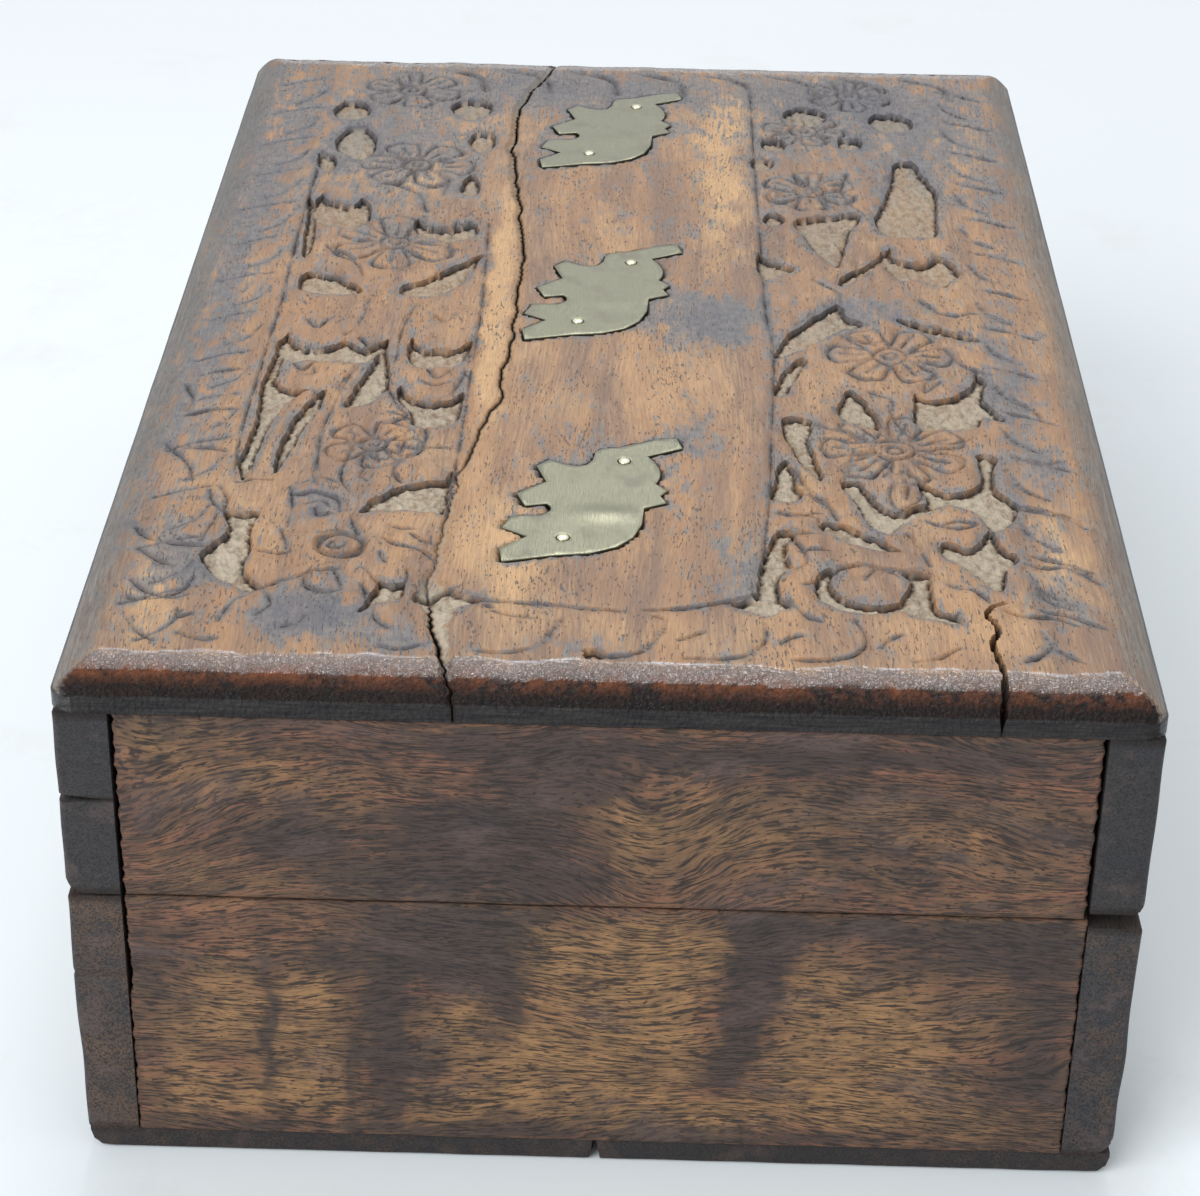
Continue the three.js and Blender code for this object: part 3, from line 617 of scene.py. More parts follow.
# %% Cleared ground in the right field
RIGHT_GROUND = [
    [(71.6, 26.2), (73, 25), (75, 24.2), (78.4, 24.2), (81, 26.4), (82.5, 29.3), (82.3, 32.7), (80.8, 35.6),
     (78.9, 35.4), (79.8, 33.4), (80.2, 31), (79.4, 28.6), (77.6, 26.9), (75, 26.1), (73, 26.6)],
    [(72.6, 34.6), (72.2, 38.4), (75, 38.3), (78, 38.4), (80, 38.6), (81.5, 39.6), (83.4, 41.8),
     (84.2, 40.4), (83.8, 38.2), (82.8, 36), (81.6, 34.2), (79.6, 34.1), (77.5, 34.8), (75.6, 35.3),
     (74, 35.4)],
    [(63, 19.9), (62.8, 22.2), (64.6, 22.2), (65.8, 21.4), (69, 21.2), (71.6, 21.9), (72.4, 21),
     (75, 20), (78.6, 20.1), (80.4, 21.5), (81.6, 20.8), (83.5, 18.4), (82.7, 16.6), (81.2, 14.2),
     (80.2, 14.6), (79.2, 16.4), (77.8, 17.2), (74, 17.4), (70, 18), (66, 18.9)],
    [(60, 26.1), (61, 25.3), (62.8, 25.8), (64.8, 28.3), (66.9, 31.8), (67.4, 34.9), (66, 34.5),
     (64, 32.3), (62, 29.9), (60.3, 27.8)],
    [(49.3, 28.8), (49.2, 30.6), (51.4, 31.8), (54.3, 32.8), (56.2, 34.1), (57, 35.2), (56.6, 36.4),
     (55.4, 37.8), (54.6, 39.4), (56, 40.2), (58.5, 37.7), (60.8, 35.4), (63, 33.8), (61.8, 31.9),
     (59, 31), (56, 30.2), (53, 29.2), (51, 28.4)],
    [(49, 38.6), (50.8, 40.4), (51.7, 42), (51.4, 44), (49.8, 45.9), (46.4, 46.5), (41.4, 46.2),
     (41, 47.8), (42.4, 49), (46, 48.4), (50, 48.2), (52.4, 49.2), (55, 50.9), (56.6, 50.5),
     (58.8, 49.7), (61.4, 47.4), (60.4, 46.2), (57.6, 45.2), (56, 44), (55.2, 42), (56, 39.8),
     (54.4, 39), (52.6, 39.1), (50.6, 38.2)],
    [(61, 46.4), (62.6, 45.6), (64.6, 44.7), (66, 43.4), (65, 41.8), (64.4, 40.4), (66.2, 39.8),
     (68.2, 40.2), (69.6, 41.7), (71.6, 42.8), (73.6, 44), (75.8, 45.1), (76.6, 46.3), (74.6, 47.3),
     (71.4, 47.7), (69.2, 49.3), (66.7, 49.2), (66.8, 48.2), (64.4, 47.3), (62, 47.1)],
    [(43.6, 21.6), (46, 20.5), (50, 20), (54.7, 19.4), (55, 22.8), (53, 23.6), (50, 23.1), (47, 22.9)],
    [(31.8, 22), (32.3, 25.3), (34.6, 25.7), (37.4, 24.9), (40.4, 25.5), (44, 25.7), (47.4, 26.2),
     (50, 25.9), (46.4, 24.2), (42.4, 22.8), (38.6, 21.9), (35.4, 21.4)],
    [(23.3, 31), (26, 32.7), (28.4, 33.5), (31.4, 34.3), (34.8, 34), (34, 31.6), (32, 29.8),
     (30.4, 28.9), (28.4, 29), (26.2, 29.6), (24.2, 30)],
    [(24.3, 39.5), (25.2, 41.4), (25, 43.8), (23.6, 45.8), (21, 47.4), (17.2, 48.2), (20, 49.7),
     (24, 48.8), (27.6, 49.6), (31.2, 51.2), (31.6, 50), (30.2, 48.4), (33.2, 47.6), (34.2, 45),
     (34.2, 40.4), (32.4, 38.6), (29.4, 39), (27, 39.2)],
    [(-4.2, 30.3), (-1, 27.9), (3, 25), (8, 22.4), (13.6, 20.9), (12.8, 23.2), (10.4, 25.7), (8, 27.7),
     (6, 29.3), (4, 31), (3, 33.7), (1.6, 33.7), (0, 31.7), (-2.6, 31.3)],
    [(14, 24.4), (17, 22.6), (21, 21.3), (25.2, 20.5), (25.2, 22.2), (21, 23.6), (17, 24.9), (14.4, 25.8)],
    [(0.4, 38.6), (2.4, 39.2), (4.4, 42), (6.6, 45.6), (7.6, 49.6), (6.2, 49.4), (4.2, 46.2), (2, 42)],
    [(-57.6, 41.8), (-57.6, 44.8), (-54, 45.6), (-50, 46.8), (-45, 47.7), (-40, 47.5), (-33, 46.9),
     (-28.4, 46.2), (-28.2, 43), (-28.6, 40), (-30.4, 38), (-34, 37.3), (-38, 38.1), (-43, 39.3),
     (-48, 40.3), (-53, 41)],
    [(-23.4, 38), (-20.8, 39.5), (-18.8, 41.8), (-19, 44), (-21.6, 46.1), (-20, 47.6), (-17, 48.7),
     (-14.6, 48.8), (-12.8, 47.4), (-10.2, 46.4), (-12.4, 43.6), (-13, 39.8), (-16, 38.2), (-20, 37.4)],
    [(-10.2, 31.2), (-12.6, 31.1), (-16.4, 34), (-20.4, 37), (-24.4, 39.2), (-20.6, 39), (-16.2, 36.4),
     (-12.4, 33.8)],
    [(-36.8, 34.9), (-34, 35.2), (-30, 33.7), (-25, 32.9), (-20, 32.1), (-16.6, 31.1), (-19.4, 29.2),
     (-24, 27.2), (-29, 26), (-33, 25.1), (-35, 28), (-36, 31)],
    [(-36.4, 21.6), (-34.4, 23.9), (-32, 23), (-33, 20.4)],
    [(-21.6, 19.3), (-19, 21), (-17.6, 22.6), (-17, 24.4), (-14.8, 24.7), (-13.3, 22.8), (-11.9, 20.5),
     (-15, 19.2)],
    [(-66.4, 21.6), (-62, 21.2), (-61, 24), (-64.6, 25.2)],
    [(-67, 33.6), (-62.8, 33.4), (-62.6, 36.6), (-66.6, 37)],
    [(-58, 19.6), (-54, 19.4), (-53.4, 22), (-57, 22.8)],
    [(-80, 27), (-76, 24.6), (-72.6, 27.4), (-74, 31.4), (-78.6, 31.6)],
    [(-78, 40), (-73.6, 38.6), (-70, 41.6), (-72, 45.6), (-77, 45)],
]
print(len(RIGHT_GROUND), "patches of ground in the right field")

# %% Cut lines
LEFT_LINES = [
    [(78, -22), (75, -21.4), (70, -20.6), (60, -20.8), (40, -20.4), (20, -20.3), (0, -20), (-30, -20.6)],
    [(68.2, -34.4), (69.3, -34.8), (70, -33.8), (69.4, -32.8), (68.4, -32.8)],
    [(66.9, -28.4), (68, -27.4), (69, -25.6), (69.8, -24), (71, -22.6), (72.6, -21.6)],
    [(63.8, -27.7), (65.2, -27.8), (66.6, -27.6)], [(64.3, -27.6), (64.6, -26), (65, -24.6)],
    [(61.6, -32.8), (63.4, -32.4), (65, -31.9), (66, -31.4)], [(66.2, -36), (65.8, -34.4), (65.9, -32.8)],
    [(74.4, -30.2), (75.8, -29.4), (77.2, -28.6), (77.8, -27.8)],
    [(75.2, -33.6), (76.8, -33), (78.4, -32.6), (80, -32.2)],
    [(76.2, -36), (77, -36.8), (78.4, -36.8), (79.6, -36.2), (80.4, -34.6), (80.2, -32.6)],
    [(75.6, -36.2), (75.2, -34.6), (75.2, -33)], [(78.4, -29.9), (80, -29.3), (81.4, -29.2)],
    [(60, -37.4), (61.6, -36.8), (61.2, -35)],
    [(55, -41), (57, -40.6), (60, -40.2), (62.6, -40.2), (64.4, -40.2)],
    [(66, -40.8), (69, -40), (70.6, -39.8)], [(71.2, -43.2), (71.6, -41), (71.2, -39.2)],
    [(70.6, -28.4), (72, -28.1), (73.2, -27.4)], [(66, -25), (68.2, -22.6), (69, -21.6)],
    [(79.8, -41.6), (78.8, -40.4), (77.4, -38), (76.2, -36.4)],
    [(74.8, -24.8), (76.6, -24.6), (78, -24.8)],
    [(65, -59.4), (67.4, -58), (69, -56.4), (69.8, -54), (70, -51.4), (70.2, -50)],
    [(62.4, -49.2), (65.6, -49.8), (69, -50.4)], [(56, -51), (58.6, -50.4), (61.4, -49)],
    [(79, -57.4), (80.6, -56), (82, -54.2), (82.8, -52), (82.2, -50)],
    [(71.8, -57.4), (74, -54.8), (75.4, -52.8)], [(80.8, -42.6), (83, -44.4), (85.6, -45.4), (88, -45.8)],
    [(81.4, -40.8), (83.6, -40.2), (85, -40.8), (86.4, -41.6)],
    [(90.6, -50.2), (91.6, -48.6), (92, -46.8), (91.9, -45.4)], [(85.4, -51), (86.8, -50.6), (86.4, -49)],
    [(86.2, -35.8), (87.8, -36.6), (89, -38.2)], [(92.8, -26.6), (93.2, -24), (92.2, -22)],
    [(88.6, -26), (86.6, -27.6), (84.4, -28)], [(88, -56.4), (90.4, -55), (92.6, -52.6)],
    [(57, -40), (56, -37.4), (57.6, -34.8), (60.4, -34.2)], [(58.6, -38.6), (58.2, -36.8), (59.6, -35.6)],
    [(53, -35.4), (52.2, -37.6), (53.4, -39.6)],
    [(55.6, -33.4), (53, -34.6), (50, -35), (45, -34.4), (40, -34.2)],
    [(44, -32.4), (46, -31.4), (46.4, -29.6)], [(43.4, -26), (43, -23.6), (43.2, -21.4)],
    [(46, -27.6), (49.6, -28.4), (52.8, -27.2)], [(38.4, -28.4), (41, -27.6), (44.6, -28), (47, -27.6)],
    [(48, -38.4), (51, -38.6), (53.6, -38)], [(49.4, -32.2), (51.4, -32.6), (52.6, -31.6)],
    [(53.6, -47.8), (53, -45.8), (53.2, -43.4)], [(45, -55.6), (44.8, -52.4), (45.6, -50.4)],
    [(44, -58.4), (46.6, -56.4), (50, -54.4), (53.4, -53.6)], [(36, -57), (34, -54), (33.6, -51)],
    [(24, -56.6), (22, -53.4), (21.4, -50.4)], [(27, -58), (31, -56.6), (34.6, -57)],
    [(20, -31.8), (26, -31), (31, -29.4), (34, -27.8)], [(37, -30.7), (35.6, -29), (34.7, -27.8)],
    [(33, -30.5), (36, -26), (41, -25), (46, -27), (49, -31)],
    [(20, -36.2), (30, -37.6), (40, -38.6), (50, -38.2)], [(10.4, -36.6), (14, -34.6), (16, -33.2)],
    [(28, -22.4), (20, -20.9), (12, -20.9)], [(20.6, -41.6), (22.4, -41.4), (23, -42.4)],
    [(24, -26.6), (24.8, -24.8), (24.2, -23)], [(21, -36), (25, -37.6), (28, -37.4)],
    [(55, -50), (58, -48.6), (61.6, -48.4)], [(83, -57), (83, -54), (81.4, -51), (78, -50)],
    [(-30, -25.4), (-24, -26), (-17, -25.6)], [(0, -29.4), (8, -30.6), (18, -30.8)],
    [(-2, -36), (6, -36.8), (10, -38.4)], [(-20, -44), (-16, -40), (-10, -37.6)],
    [(-44, -36), (-40, -32), (-33, -30)], [(-50, -32), (-46, -28), (-40, -28)],
    [(50, -48.6), (38, -49), (20, -48.8), (0, -48.4), (-20, -48.6), (-50, -48.4)],
]
RIGHT_LINES = [
    [(85.6, -8.8), (84.6, -13), (82, -15)], [(81.6, -15), (82, -11), (82.4, -6), (83, -3), (83.4, 1)],
    [(83, 4), (82.4, 8), (81.2, 12), (79.4, 16)],
    [(93.2, -15), (93.4, -12.6), (92.6, -10), (91.6, -8.2), (89.4, -7.2), (86.6, -6.2), (84.4, -5)],
    [(93.8, -1), (92.8, 3), (91, 4.6), (88, 6), (85.4, 6.4), (84.2, 5)],
    [(93.6, 8.6), (93.6, 13), (92.4, 16), (90, 17.8), (87, 18.2), (85.4, 18)],
    [(93.4, 21), (93.2, 25), (92, 28), (89.6, 29.6), (86.4, 29.4), (84.4, 28.6)],
    [(93.2, 35), (92.4, 37.6), (91, 39.2), (90, 40.6)],
    [(92.6, 47.8), (90.6, 50.2), (88, 51.6), (85.4, 51.8)], [(89.6, 8), (88.6, 9.6), (87.6, 11)],
    [(89.8, 19.8), (88.6, 20.8), (88, 22.2)], [(90.2, 31.4), (88.4, 32.4), (87.2, 34)],
    [(73.4, 26.4), (71.6, 28), (71, 30.4), (71.6, 32.6), (73.4, 34.4)],
    [(71.4, 31.8), (73, 31), (74.8, 30.2)], [(71.6, 33), (72.2, 34.8), (72.8, 36.8), (72.2, 38.4)],
    [(58.4, 20.4), (58.6, 23), (59.6, 25.2), (61.4, 25.3)], [(63.4, 21.6), (63.2, 23.4), (63.4, 25.2)],
    [(68, 22.8), (67.4, 24.4), (67.6, 26.4)], [(76, 23), (74.6, 25)],
    [(69.6, 49.6), (70.6, 52), (70.2, 54.6), (72, 57), (74.4, 58.6)],
    [(55.6, 50), (56.6, 53.6), (58.6, 57), (60.6, 58.2)],
    [(59.4, 38.8), (60.8, 40.8), (61.2, 42.8), (60.2, 44.8)], [(75.4, 40.4), (76.4, 43), (78.6, 44.6)],
    [(80.8, 46.4), (82.2, 48.8), (82.4, 52), (84, 54.6)], [(74, 50.6), (78, 51.6), (80.6, 54.4)],
    [(79, 18), (70, 18.2), (60, 19), (50, 19.6), (40, 19.9)],
    [(40, 19.9), (30, 20.4), (20, 20.8), (10, 21), (0, 20.2), (-20, 20), (-50, 19.8), (-88, 19.6)],
    [(46, 36.8), (50, 35), (54.6, 34.6), (57, 35.4)], [(46, 36.8), (50, 38.6), (54, 38.2), (57, 35.4)],
    [(44, 22.6), (48, 23.2), (53, 24.6), (57.4, 27.2)], [(58, 20.6), (58.6, 23), (58.2, 25.4)],
    [(62.8, 36), (66.6, 37.4), (71, 38.3)], [(63.6, 21.8), (70, 23.6), (72, 22)],
    [(52, 19.8), (54, 25.6), (59.6, 27.6)], [(60.4, 40.6), (59.4, 42.6), (60, 45)],
    [(79.6, 21), (83, 22.6), (84.6, 24.6)], [(45.4, 28.2), (45.6, 29.6), (45, 30.6)],
    [(33.4, 29), (35.4, 29.4), (36.6, 30.8), (37.6, 32.4)],
    [(38.6, 33), (36.8, 34), (34, 34.6), (31, 34.2)], [(37.4, 38.6), (35.6, 37.4), (33, 36.6), (28, 35.8)],
    [(38.2, 41), (38.4, 43.6), (37.4, 45.8)], [(48, 34), (46.8, 35.4), (50, 37), (54, 36.6)],
    [(23.6, 41), (21, 41.4), (19, 43)], [(20.4, 43.4), (23, 41.6)], [(10, 45), (15, 46.5), (18, 50.5)],
    [(41, 30.6), (46, 29.8), (49.4, 28.8)], [(24.6, 52.4), (28.4, 55), (31, 56)],
    [(34, 25.6), (35.6, 29), (38.4, 32)], [(28, 44.5), (31.4, 42.6), (33.6, 45.4)],
    [(41.4, 51), (43.6, 54.4), (43, 57)], [(-36, 36), (-44, 33), (-52, 34)],
    [(-50, 26), (-44, 30), (-38, 30.4)], [(6, 30), (8.4, 33.4), (7.6, 37)],
    [(-12, 27), (-8, 30.6), (-3.6, 31)], [(-6, 42), (-1, 45.6), (-2, 50)],
    [(30, 36), (26.4, 36.4), (24, 33.4)],
]
# Each bud: the place of its tip and its length. Its cut is a pointed arc.
for x, y, size in ((22.3, -43.2, 3.4), (24, -24.6, 3.6), (8.8, -42.6, 3.4), (6.4, -24.9, 3.8)):
    LEFT_LINES.append([(x - size, y - 1.6), (x - size * 0.3, y), (x - size, y + 1.6)])
print(len(LEFT_LINES) + len(RIGHT_LINES), "cut lines")

# %% [markdown]
# ## The split, the crack and the top's surface
# The top board has split from end to end along the grain, left of the middle panel, so it is made as two
# closed pieces with a gap between, darkened along its edges by painted shade. A shorter crack runs in from
# the near end on the right. The edge moulding is a worn slope round all four sides. At the near end a pale
# line along its upper corner is partly rubbed wood and partly a painted highlight.

# %% The split and the board's size
top_low, top_high = box_mm("lid_top_board")
TOP_HALF_LENGTH, TOP_HALF_WIDTH = top_high[0], top_high[1]
TOP_FACE, TOP_UNDERSIDE = top_high[2], top_low[2]
END_MOULDING, SIDE_MOULDING, MOULDING_DROP = 7.0, 5.0, 2.6
NEAR_CORNER, FAR_CORNER = 2.6, 5.0

SPLIT = smooth_path([(-101.5, -12), (-90, -15), (-80, -17.6), (-60, -18.3), (-40, -16.5), (-20, -15),
                     (0, -15), (20, -15.8), (28, -15.9), (33, -17.2), (40, -18.5), (50, -19.8), (60, -20.9),
                     (70, -21.5), (76, -21.9), (79, -22.2), (82, -21.6), (88, -20.8), (94, -19.7),
                     (101.5, -17.6)])
SPLIT_GAP = [(-101.5, 0.3), (-60, 0.3), (-20, 0.24), (0, 0.2), (20, 0.2), (40, 0.12), (60, 0.05), (80, 0.05),
             (86, 0.3), (90, 0.4), (95, 0.3), (101.5, 0.2)]
# Each row: place along the box, depth of the worn trench beside the split, its width to left and right.
TRENCH = [
    (-101.5, 0.4, 0.9, 0.4), (-60, 0.7, 1.2, 0.5), (-30, 0.6, 0.9, 0.4), (0, 0.4, 0.5, 0.5),
    (20, 0.45, 0.4, 1.0), (45, 0.42, 0.4, 1.1), (60, 0.36, 0.4, 1.1), (76, 0.45, 0.5, 1.5),
    (79.5, 0.8, 1.2, 3.0), (82, 0.9, 2.6, 4.6), (84, 0.8, 0.8, 3.4), (88, 0.8, 0.4, 2.0),
    (93, 0.8, 0.4, 1.2), (98, 0.6, 0.5, 0.8), (101.5, 0.3, 0.4, 0.4),
]
CRACK = [(79.4, 46.8), (80.2, 45.2), (82, 44.2), (84, 44.9), (86, 45.3), (88, 44.5), (90, 44.4), (93, 44.8),
         (96, 45.1), (101.5, 44.6)]
CRACK_START = 78.6
CRACK_DEPTH = 3.2
NAIL_HOLE = (93.1, -1.9)
NAIL_HOLE_RADIUS = 0.8
NAIL_HOLE_DEPTH = 1.9
print("top board in mm", [round(float(v), 2) for v in top_high - top_low])


# %% Shapes of the top
def along_split(x, table, column):
    """A value that runs along the split, straight between the places in its table."""
    rows = np.array(table)
    return np.interp(x, rows[:, 0], rows[:, column])


def half_width(x):
    """Half the board's width at x: it draws in along a quarter circle at each rounded corner."""
    radius = np.where(x > 0, NEAR_CORNER, FAR_CORNER)
    into = np.maximum(np.abs(x) - (TOP_HALF_LENGTH - radius), 0)
    return TOP_HALF_WIDTH - (radius - np.sqrt(radius ** 2 - into ** 2))


def moulding(x, y):
    """The moulding's drop, 0.3 t + 0.7 t^3 of its height at t of its width, t itself, and 1 on long sides."""
    end_width = END_MOULDING + 0.35 * waves(x / 90, y / 16, 62) + 0.16 * waves(x / 40, y / 3.5, 63)
    from_end = np.clip((TOP_HALF_LENGTH - np.abs(x)) / end_width, 0, 1)
    wavy = 0.35 * waves(x / 40, y / 40, 61)
    from_side = np.clip((TOP_HALF_WIDTH - np.abs(y)) / (SIDE_MOULDING + wavy), 0, 1)
    out = ((1 - from_end) ** 8 + (1 - from_side) ** 8) ** 0.125
    out = np.clip(out, 0, 1)
    return MOULDING_DROP * (0.3 * out + 0.7 * out ** 3), out, ease((from_end - from_side) / 0.12 + 0.5)


print("half width at the near end", round(float(half_width(TOP_HALF_LENGTH)), 1), "mm")

# %% [markdown]
# ## Recesses and ornament
# The brass figures lie nearly flush, in recesses that were cut round them. Each outline is read from the
# frame, so that recess and plate fit. Flowers and the scallops of the rim repeat, so loops draw them from a
# few sizes, as a carver sets them out before cutting.

# %% Elephant outlines and their recesses
ELEPHANTS = ["elephant_inlay_left", "elephant_inlay_middle", "elephant_inlay_right"]
SEAT_DEPTH = 0.75
SEAT_CLEARANCE = 0.1
RIM_STAIN = 1.8


def open_edges(triangles):
    """The edges that only one of these triangles has, each in that triangle's direction."""
    edges = np.vstack([triangles[:, [0, 1]], triangles[:, [1, 2]], triangles[:, [2, 0]]])
    known = {tuple(edge) for edge in edges.tolist()}
    return [(a, b) for a, b in known if (b, a) not in known]


def elephant_outline(node):
    """The plate's outline and pin holes in mm, from the frame: the edges that only one top triangle has."""
    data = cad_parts[node].data
    co = np.array([v.co for v in data.vertices]) / MM
    keys, home = np.unique(np.round(co, 4), axis=0, return_inverse=True)
    home = home.ravel()
    corners = np.array([[home[v] for v in p.vertices] for p in data.polygons])
    high = keys[:, 2] > keys[:, 2].max() - 0.05
    upper = corners[high[corners].all(1)]
    follow = dict(open_edges(upper))
    loops = []
    while follow:
        start = next(iter(follow))
        loop = [start]
        while follow[loop[-1]] != start:
            loop.append(follow[loop[-1]])
        loops.append(keys[loop][:, :2])
        for point in loop:
            del follow[point]
    loops.sort(key=len, reverse=True)
    return loops, float(keys[:, 2].max()), float(keys[:, 2].min())


def let_in(node, x, y, relief):
    """The recess for one plate: the wood drops to its seat inside the outline and just round it."""
    path = shut(elephant_outline(node)[0][0])
    near = beside(path, x, y, 2.5)
    far = distance_to(path, x[near], y[near]) * np.where(inside(path, x[near], y[near]), 1, -1)
    drop = np.zeros(x.shape)
    drop[near] = SEAT_DEPTH * ease((far + SEAT_CLEARANCE) / 0.1)
    # The seat mark darkens the recess and the thin gap round the plate: painted shade between plate and wood.
    deepen(relief, near, seat=0.9 * ease((far + SEAT_CLEARANCE) / 0.1), rim=ease(1 + far / RIM_STAIN))
    return drop


print("points round each elephant", [len(elephant_outline(node)[0][0]) for node in ELEPHANTS])

# %% Flowers and scallops
SCALLOP_PITCH_SIDE = 13.0
SCALLOP_PITCH_END = 11.0


def decoration(side):
    """Flowers in the fields, and the row of cut scallops that goes round the rim, as (path, width, depth)."""
    if side < 0:
        cuts = [(smooth_path(ring((69, -33.3), 2.75), True), 0.75, 0.5)]
        flowers = [((42.5, -31.5), 1.7, 6.5, 5, 0.2), ((-22, -34), 2.2, 9.5, 6, 0.0),
                   ((-52, -33), 2.2, 9.0, 6, 0.4), ((-84, -36), 2.2, 8.0, 6, 0.2)]
    else:
        cuts = []
        flowers = [((40.5, 36), 2.6, 9.6, 7, 0.2), ((12.5, 37), 2.4, 8.6, 6, 0.5),
                   ((-45, 28), 2.2, 7.4, 6, 0.0), ((-70, 28), 2.2, 6.6, 6, 0.3),
                   ((-86, 36), 2.0, 7.0, 6, 0.1)]
    for centre, eye, reach, petals, turn in flowers:
        cuts += flower(centre, eye, reach, petals, turn)
    for k in range(-7, 7):
        x0 = 3.0 + SCALLOP_PITCH_SIDE * k
        for arc, depth in (([(x0, 51), (x0 + 1.2, 54.2), (x0 + 3.6, 57.8)], 0.3),
                           ([(x0 + 4.8, 50.4), (x0 + 8.4, 51.6), (x0 + 11.6, 54.6)], 0.22)):
            cuts.append((smooth_path([(a, side * b) for a, b in arc]), 0.3, 0.7 * depth))
    for k in range(-3, 5):
        y0 = 1.2 + SCALLOP_PITCH_END * k
        scallop = smooth_path([(-93.6, y0), (-92, y0 + 4.2), (-89.4, y0 + 6.8), (-84, y0 + 7.6)])
        cuts.append((scallop, 0.7, 0.3))
    return cuts


print("cuts in flowers and scallops, left and right", len(decoration(-1)), len(decoration(1)))

# %% [markdown]
# ## One half of the top
# The carving could be sculpted by hand, or only shaded in the material. Here it is a fine grid of real
# points, so the cuts throw true shadows. The grid is first drawn onto the outlines, so that edges run clean
# through its points. Then each point gets its height, and marks that tell the finish what lies on it.

# %% The grid of one half
ROW_SPANS = ((-93.9, -20, 0.7), (-20, 20, 0.52), (20, 50, 0.4))
SPLIT_PULL = 10.0


def top_grid(row_step, columns, side):
    """The grid of one half, closer where the photo shows more, and its edge at the split. The columns within
    SPLIT_PULL of the split are drawn over to it."""
    rows = np.concatenate([lines(-TOP_HALF_LENGTH, -94.4, 0.8), *(np.arange(*span) for span in ROW_SPANS),
                           np.arange(50, 94.2, row_step), lines(94.5, TOP_HALF_LENGTH, 0.4)])
    x, y = np.meshgrid(rows, columns, indexing="ij")
    edge = np.interp(rows, SPLIT[:, 0], SPLIT[:, 1])
    edge = edge + 0.16 * waves(rows / 2.2, rows * 0, 71) + 0.3 * waves(rows / 9, rows * 0, 72)
    edge = edge + 0.3 * waves(rows / 5, rows * 0, 74) * ease((rows - 82) / 4)
    edge = (edge + side * along_split(rows, SPLIT_GAP, 1) / 2)[:, None]
    home = columns[-1] if side < 0 else columns[0]
    return x, y + ease(1 - np.abs(y - home) / SPLIT_PULL) * (edge - home), edge


print("rows grow closer towards the near end, as (from, to, step):", ROW_SPANS)

# %% The relief of one half
RELIEF_KINDS = ("cut", "shoulder", "floor", "groove", "step", "line", "halo", "seat", "rim")
LINE_WIDTH, LINE_DEPTH = 0.3, 0.2


def carved(x, y, row_step, side, ground, cuts):
    """Draws the grid onto every outline, and works out how deep each kind of cut is at each point."""
    pockets = [crumbled(outline) for outline in ground]
    cuts = [(smooth_path(points), LINE_WIDTH, LINE_DEPTH) for points in cuts] + decoration(side)
    plates = [shut(elephant_outline(node)[0][0]) for node in ELEPHANTS]
    wall_feet = [set_in(path, WALL_WIDTH + 0.02) for path in pockets]
    crack_line = [smooth_path(CRACK)] if side > 0 else []
    x, y = snap(x, y, pockets + wall_feet + [cut[0] for cut in cuts] + plates + crack_line, row_step * 1.1)
    relief = {"x": x, "y": y, **{kind: np.zeros(x.shape) for kind in RELIEF_KINDS}}
    for path in pockets:
        cut_pocket(relief, path)
    for cut in cuts:
        cut_line(relief, *cut)
    return relief


def aged(relief, edge, side):
    """Adds the worn trench beside the split, the crack with its soiling and painted shade, and the distance
    to the nail hole.
    """
    x, y = relief["x"], relief["y"]
    from_split = np.abs(y - edge)
    depth, width = along_split(x, TRENCH, 1), along_split(x, TRENCH, 2 if side < 0 else 3)
    trench = depth * ease(1.25 * (1 - from_split / width) + 0.15 * waves(x / 3, y / 1.5, 73))
    crack = np.full(x.shape, 9.0)
    if side > 0:
        crack = distance_to(smooth_path(CRACK), x.ravel(), y.ravel()).reshape(x.shape)
    crack_width = 0.24 + 0.08 * waves(x / 3, y / 3, 86)
    begins = ease((x - CRACK_START) / 3)
    hole = np.hypot(x - NAIL_HOLE[0], (y - NAIL_HOLE[1]) * 0.8)
    relief.update({"from split": from_split, "trench": trench * (from_split < width * 1.3),
                   "crack": ease(1.2 - crack / crack_width) * begins,
                   # The crack's darkening reaches past its walls: painted shade in the crack, with soiling.
                   "crack_shade_and_dirt": ease(1.7 - crack / crack_width) * begins,
                   "hole": hole + 0.22 * waves(x / 1.2, y / 1.2, 87)})


print("kinds of relief", RELIEF_KINDS)

# %% The height of one half
FIELD_INNER, FIELD_OUTER, FIELD_END = 19.5, 52, 86
LEFT_IN_CRACK = 0.15


def top_height(relief, drop, out, plain):
    """Face minus moulding, plus uneven fields, minus carving, trench, dents, crack, nail hole and seats."""
    x, y, floor = relief["x"], relief["y"], relief["floor"]
    floor_bumps = 0.2 * waves(x / 2.4, y / 2.4, 81) + 0.12 * waves(x / 0.9, y / 0.9, 82)
    dome = (relief["shoulder"] + relief["step"]) * (1 - floor)
    z = TOP_FACE - 0.06 - drop + 0.05 * waves(x / 22, y / 9, 83) + 0.012 * waves(x / 7, y / 0.9, 84)
    field = ease((np.abs(y + 0.5) - FIELD_INNER) / 3) * ease((FIELD_OUTER - np.abs(y)) / 4)
    field = field * ease((FIELD_END - np.abs(x)) / 3)
    z = z + plain * field * (1 - floor) * 0.14 * waves(x / 5.5, y / 4.5, 88)
    z = z - plain * (relief["cut"] + floor * floor_bumps + dome + relief["groove"]) - relief["trench"]
    z = z - 0.14 * ease(out * 3) * (1 - ease(out * 3 - 1.2)) * waves(x / 5, y / 3, 85) ** 2
    crack_depth = CRACK_DEPTH + 2 * ease((x - 97) / 4)
    z = np.maximum(z - relief["crack"] * crack_depth, TOP_UNDERSIDE + LEFT_IN_CRACK)
    z = z - NAIL_HOLE_DEPTH * ease(1.45 - relief["hole"] / NAIL_HOLE_RADIUS)
    for node in ELEPHANTS:
        z = z - let_in(node, x, y, relief)
    return z


print("carved fields run from", FIELD_INNER, "to", FIELD_OUTER, "mm off the middle")

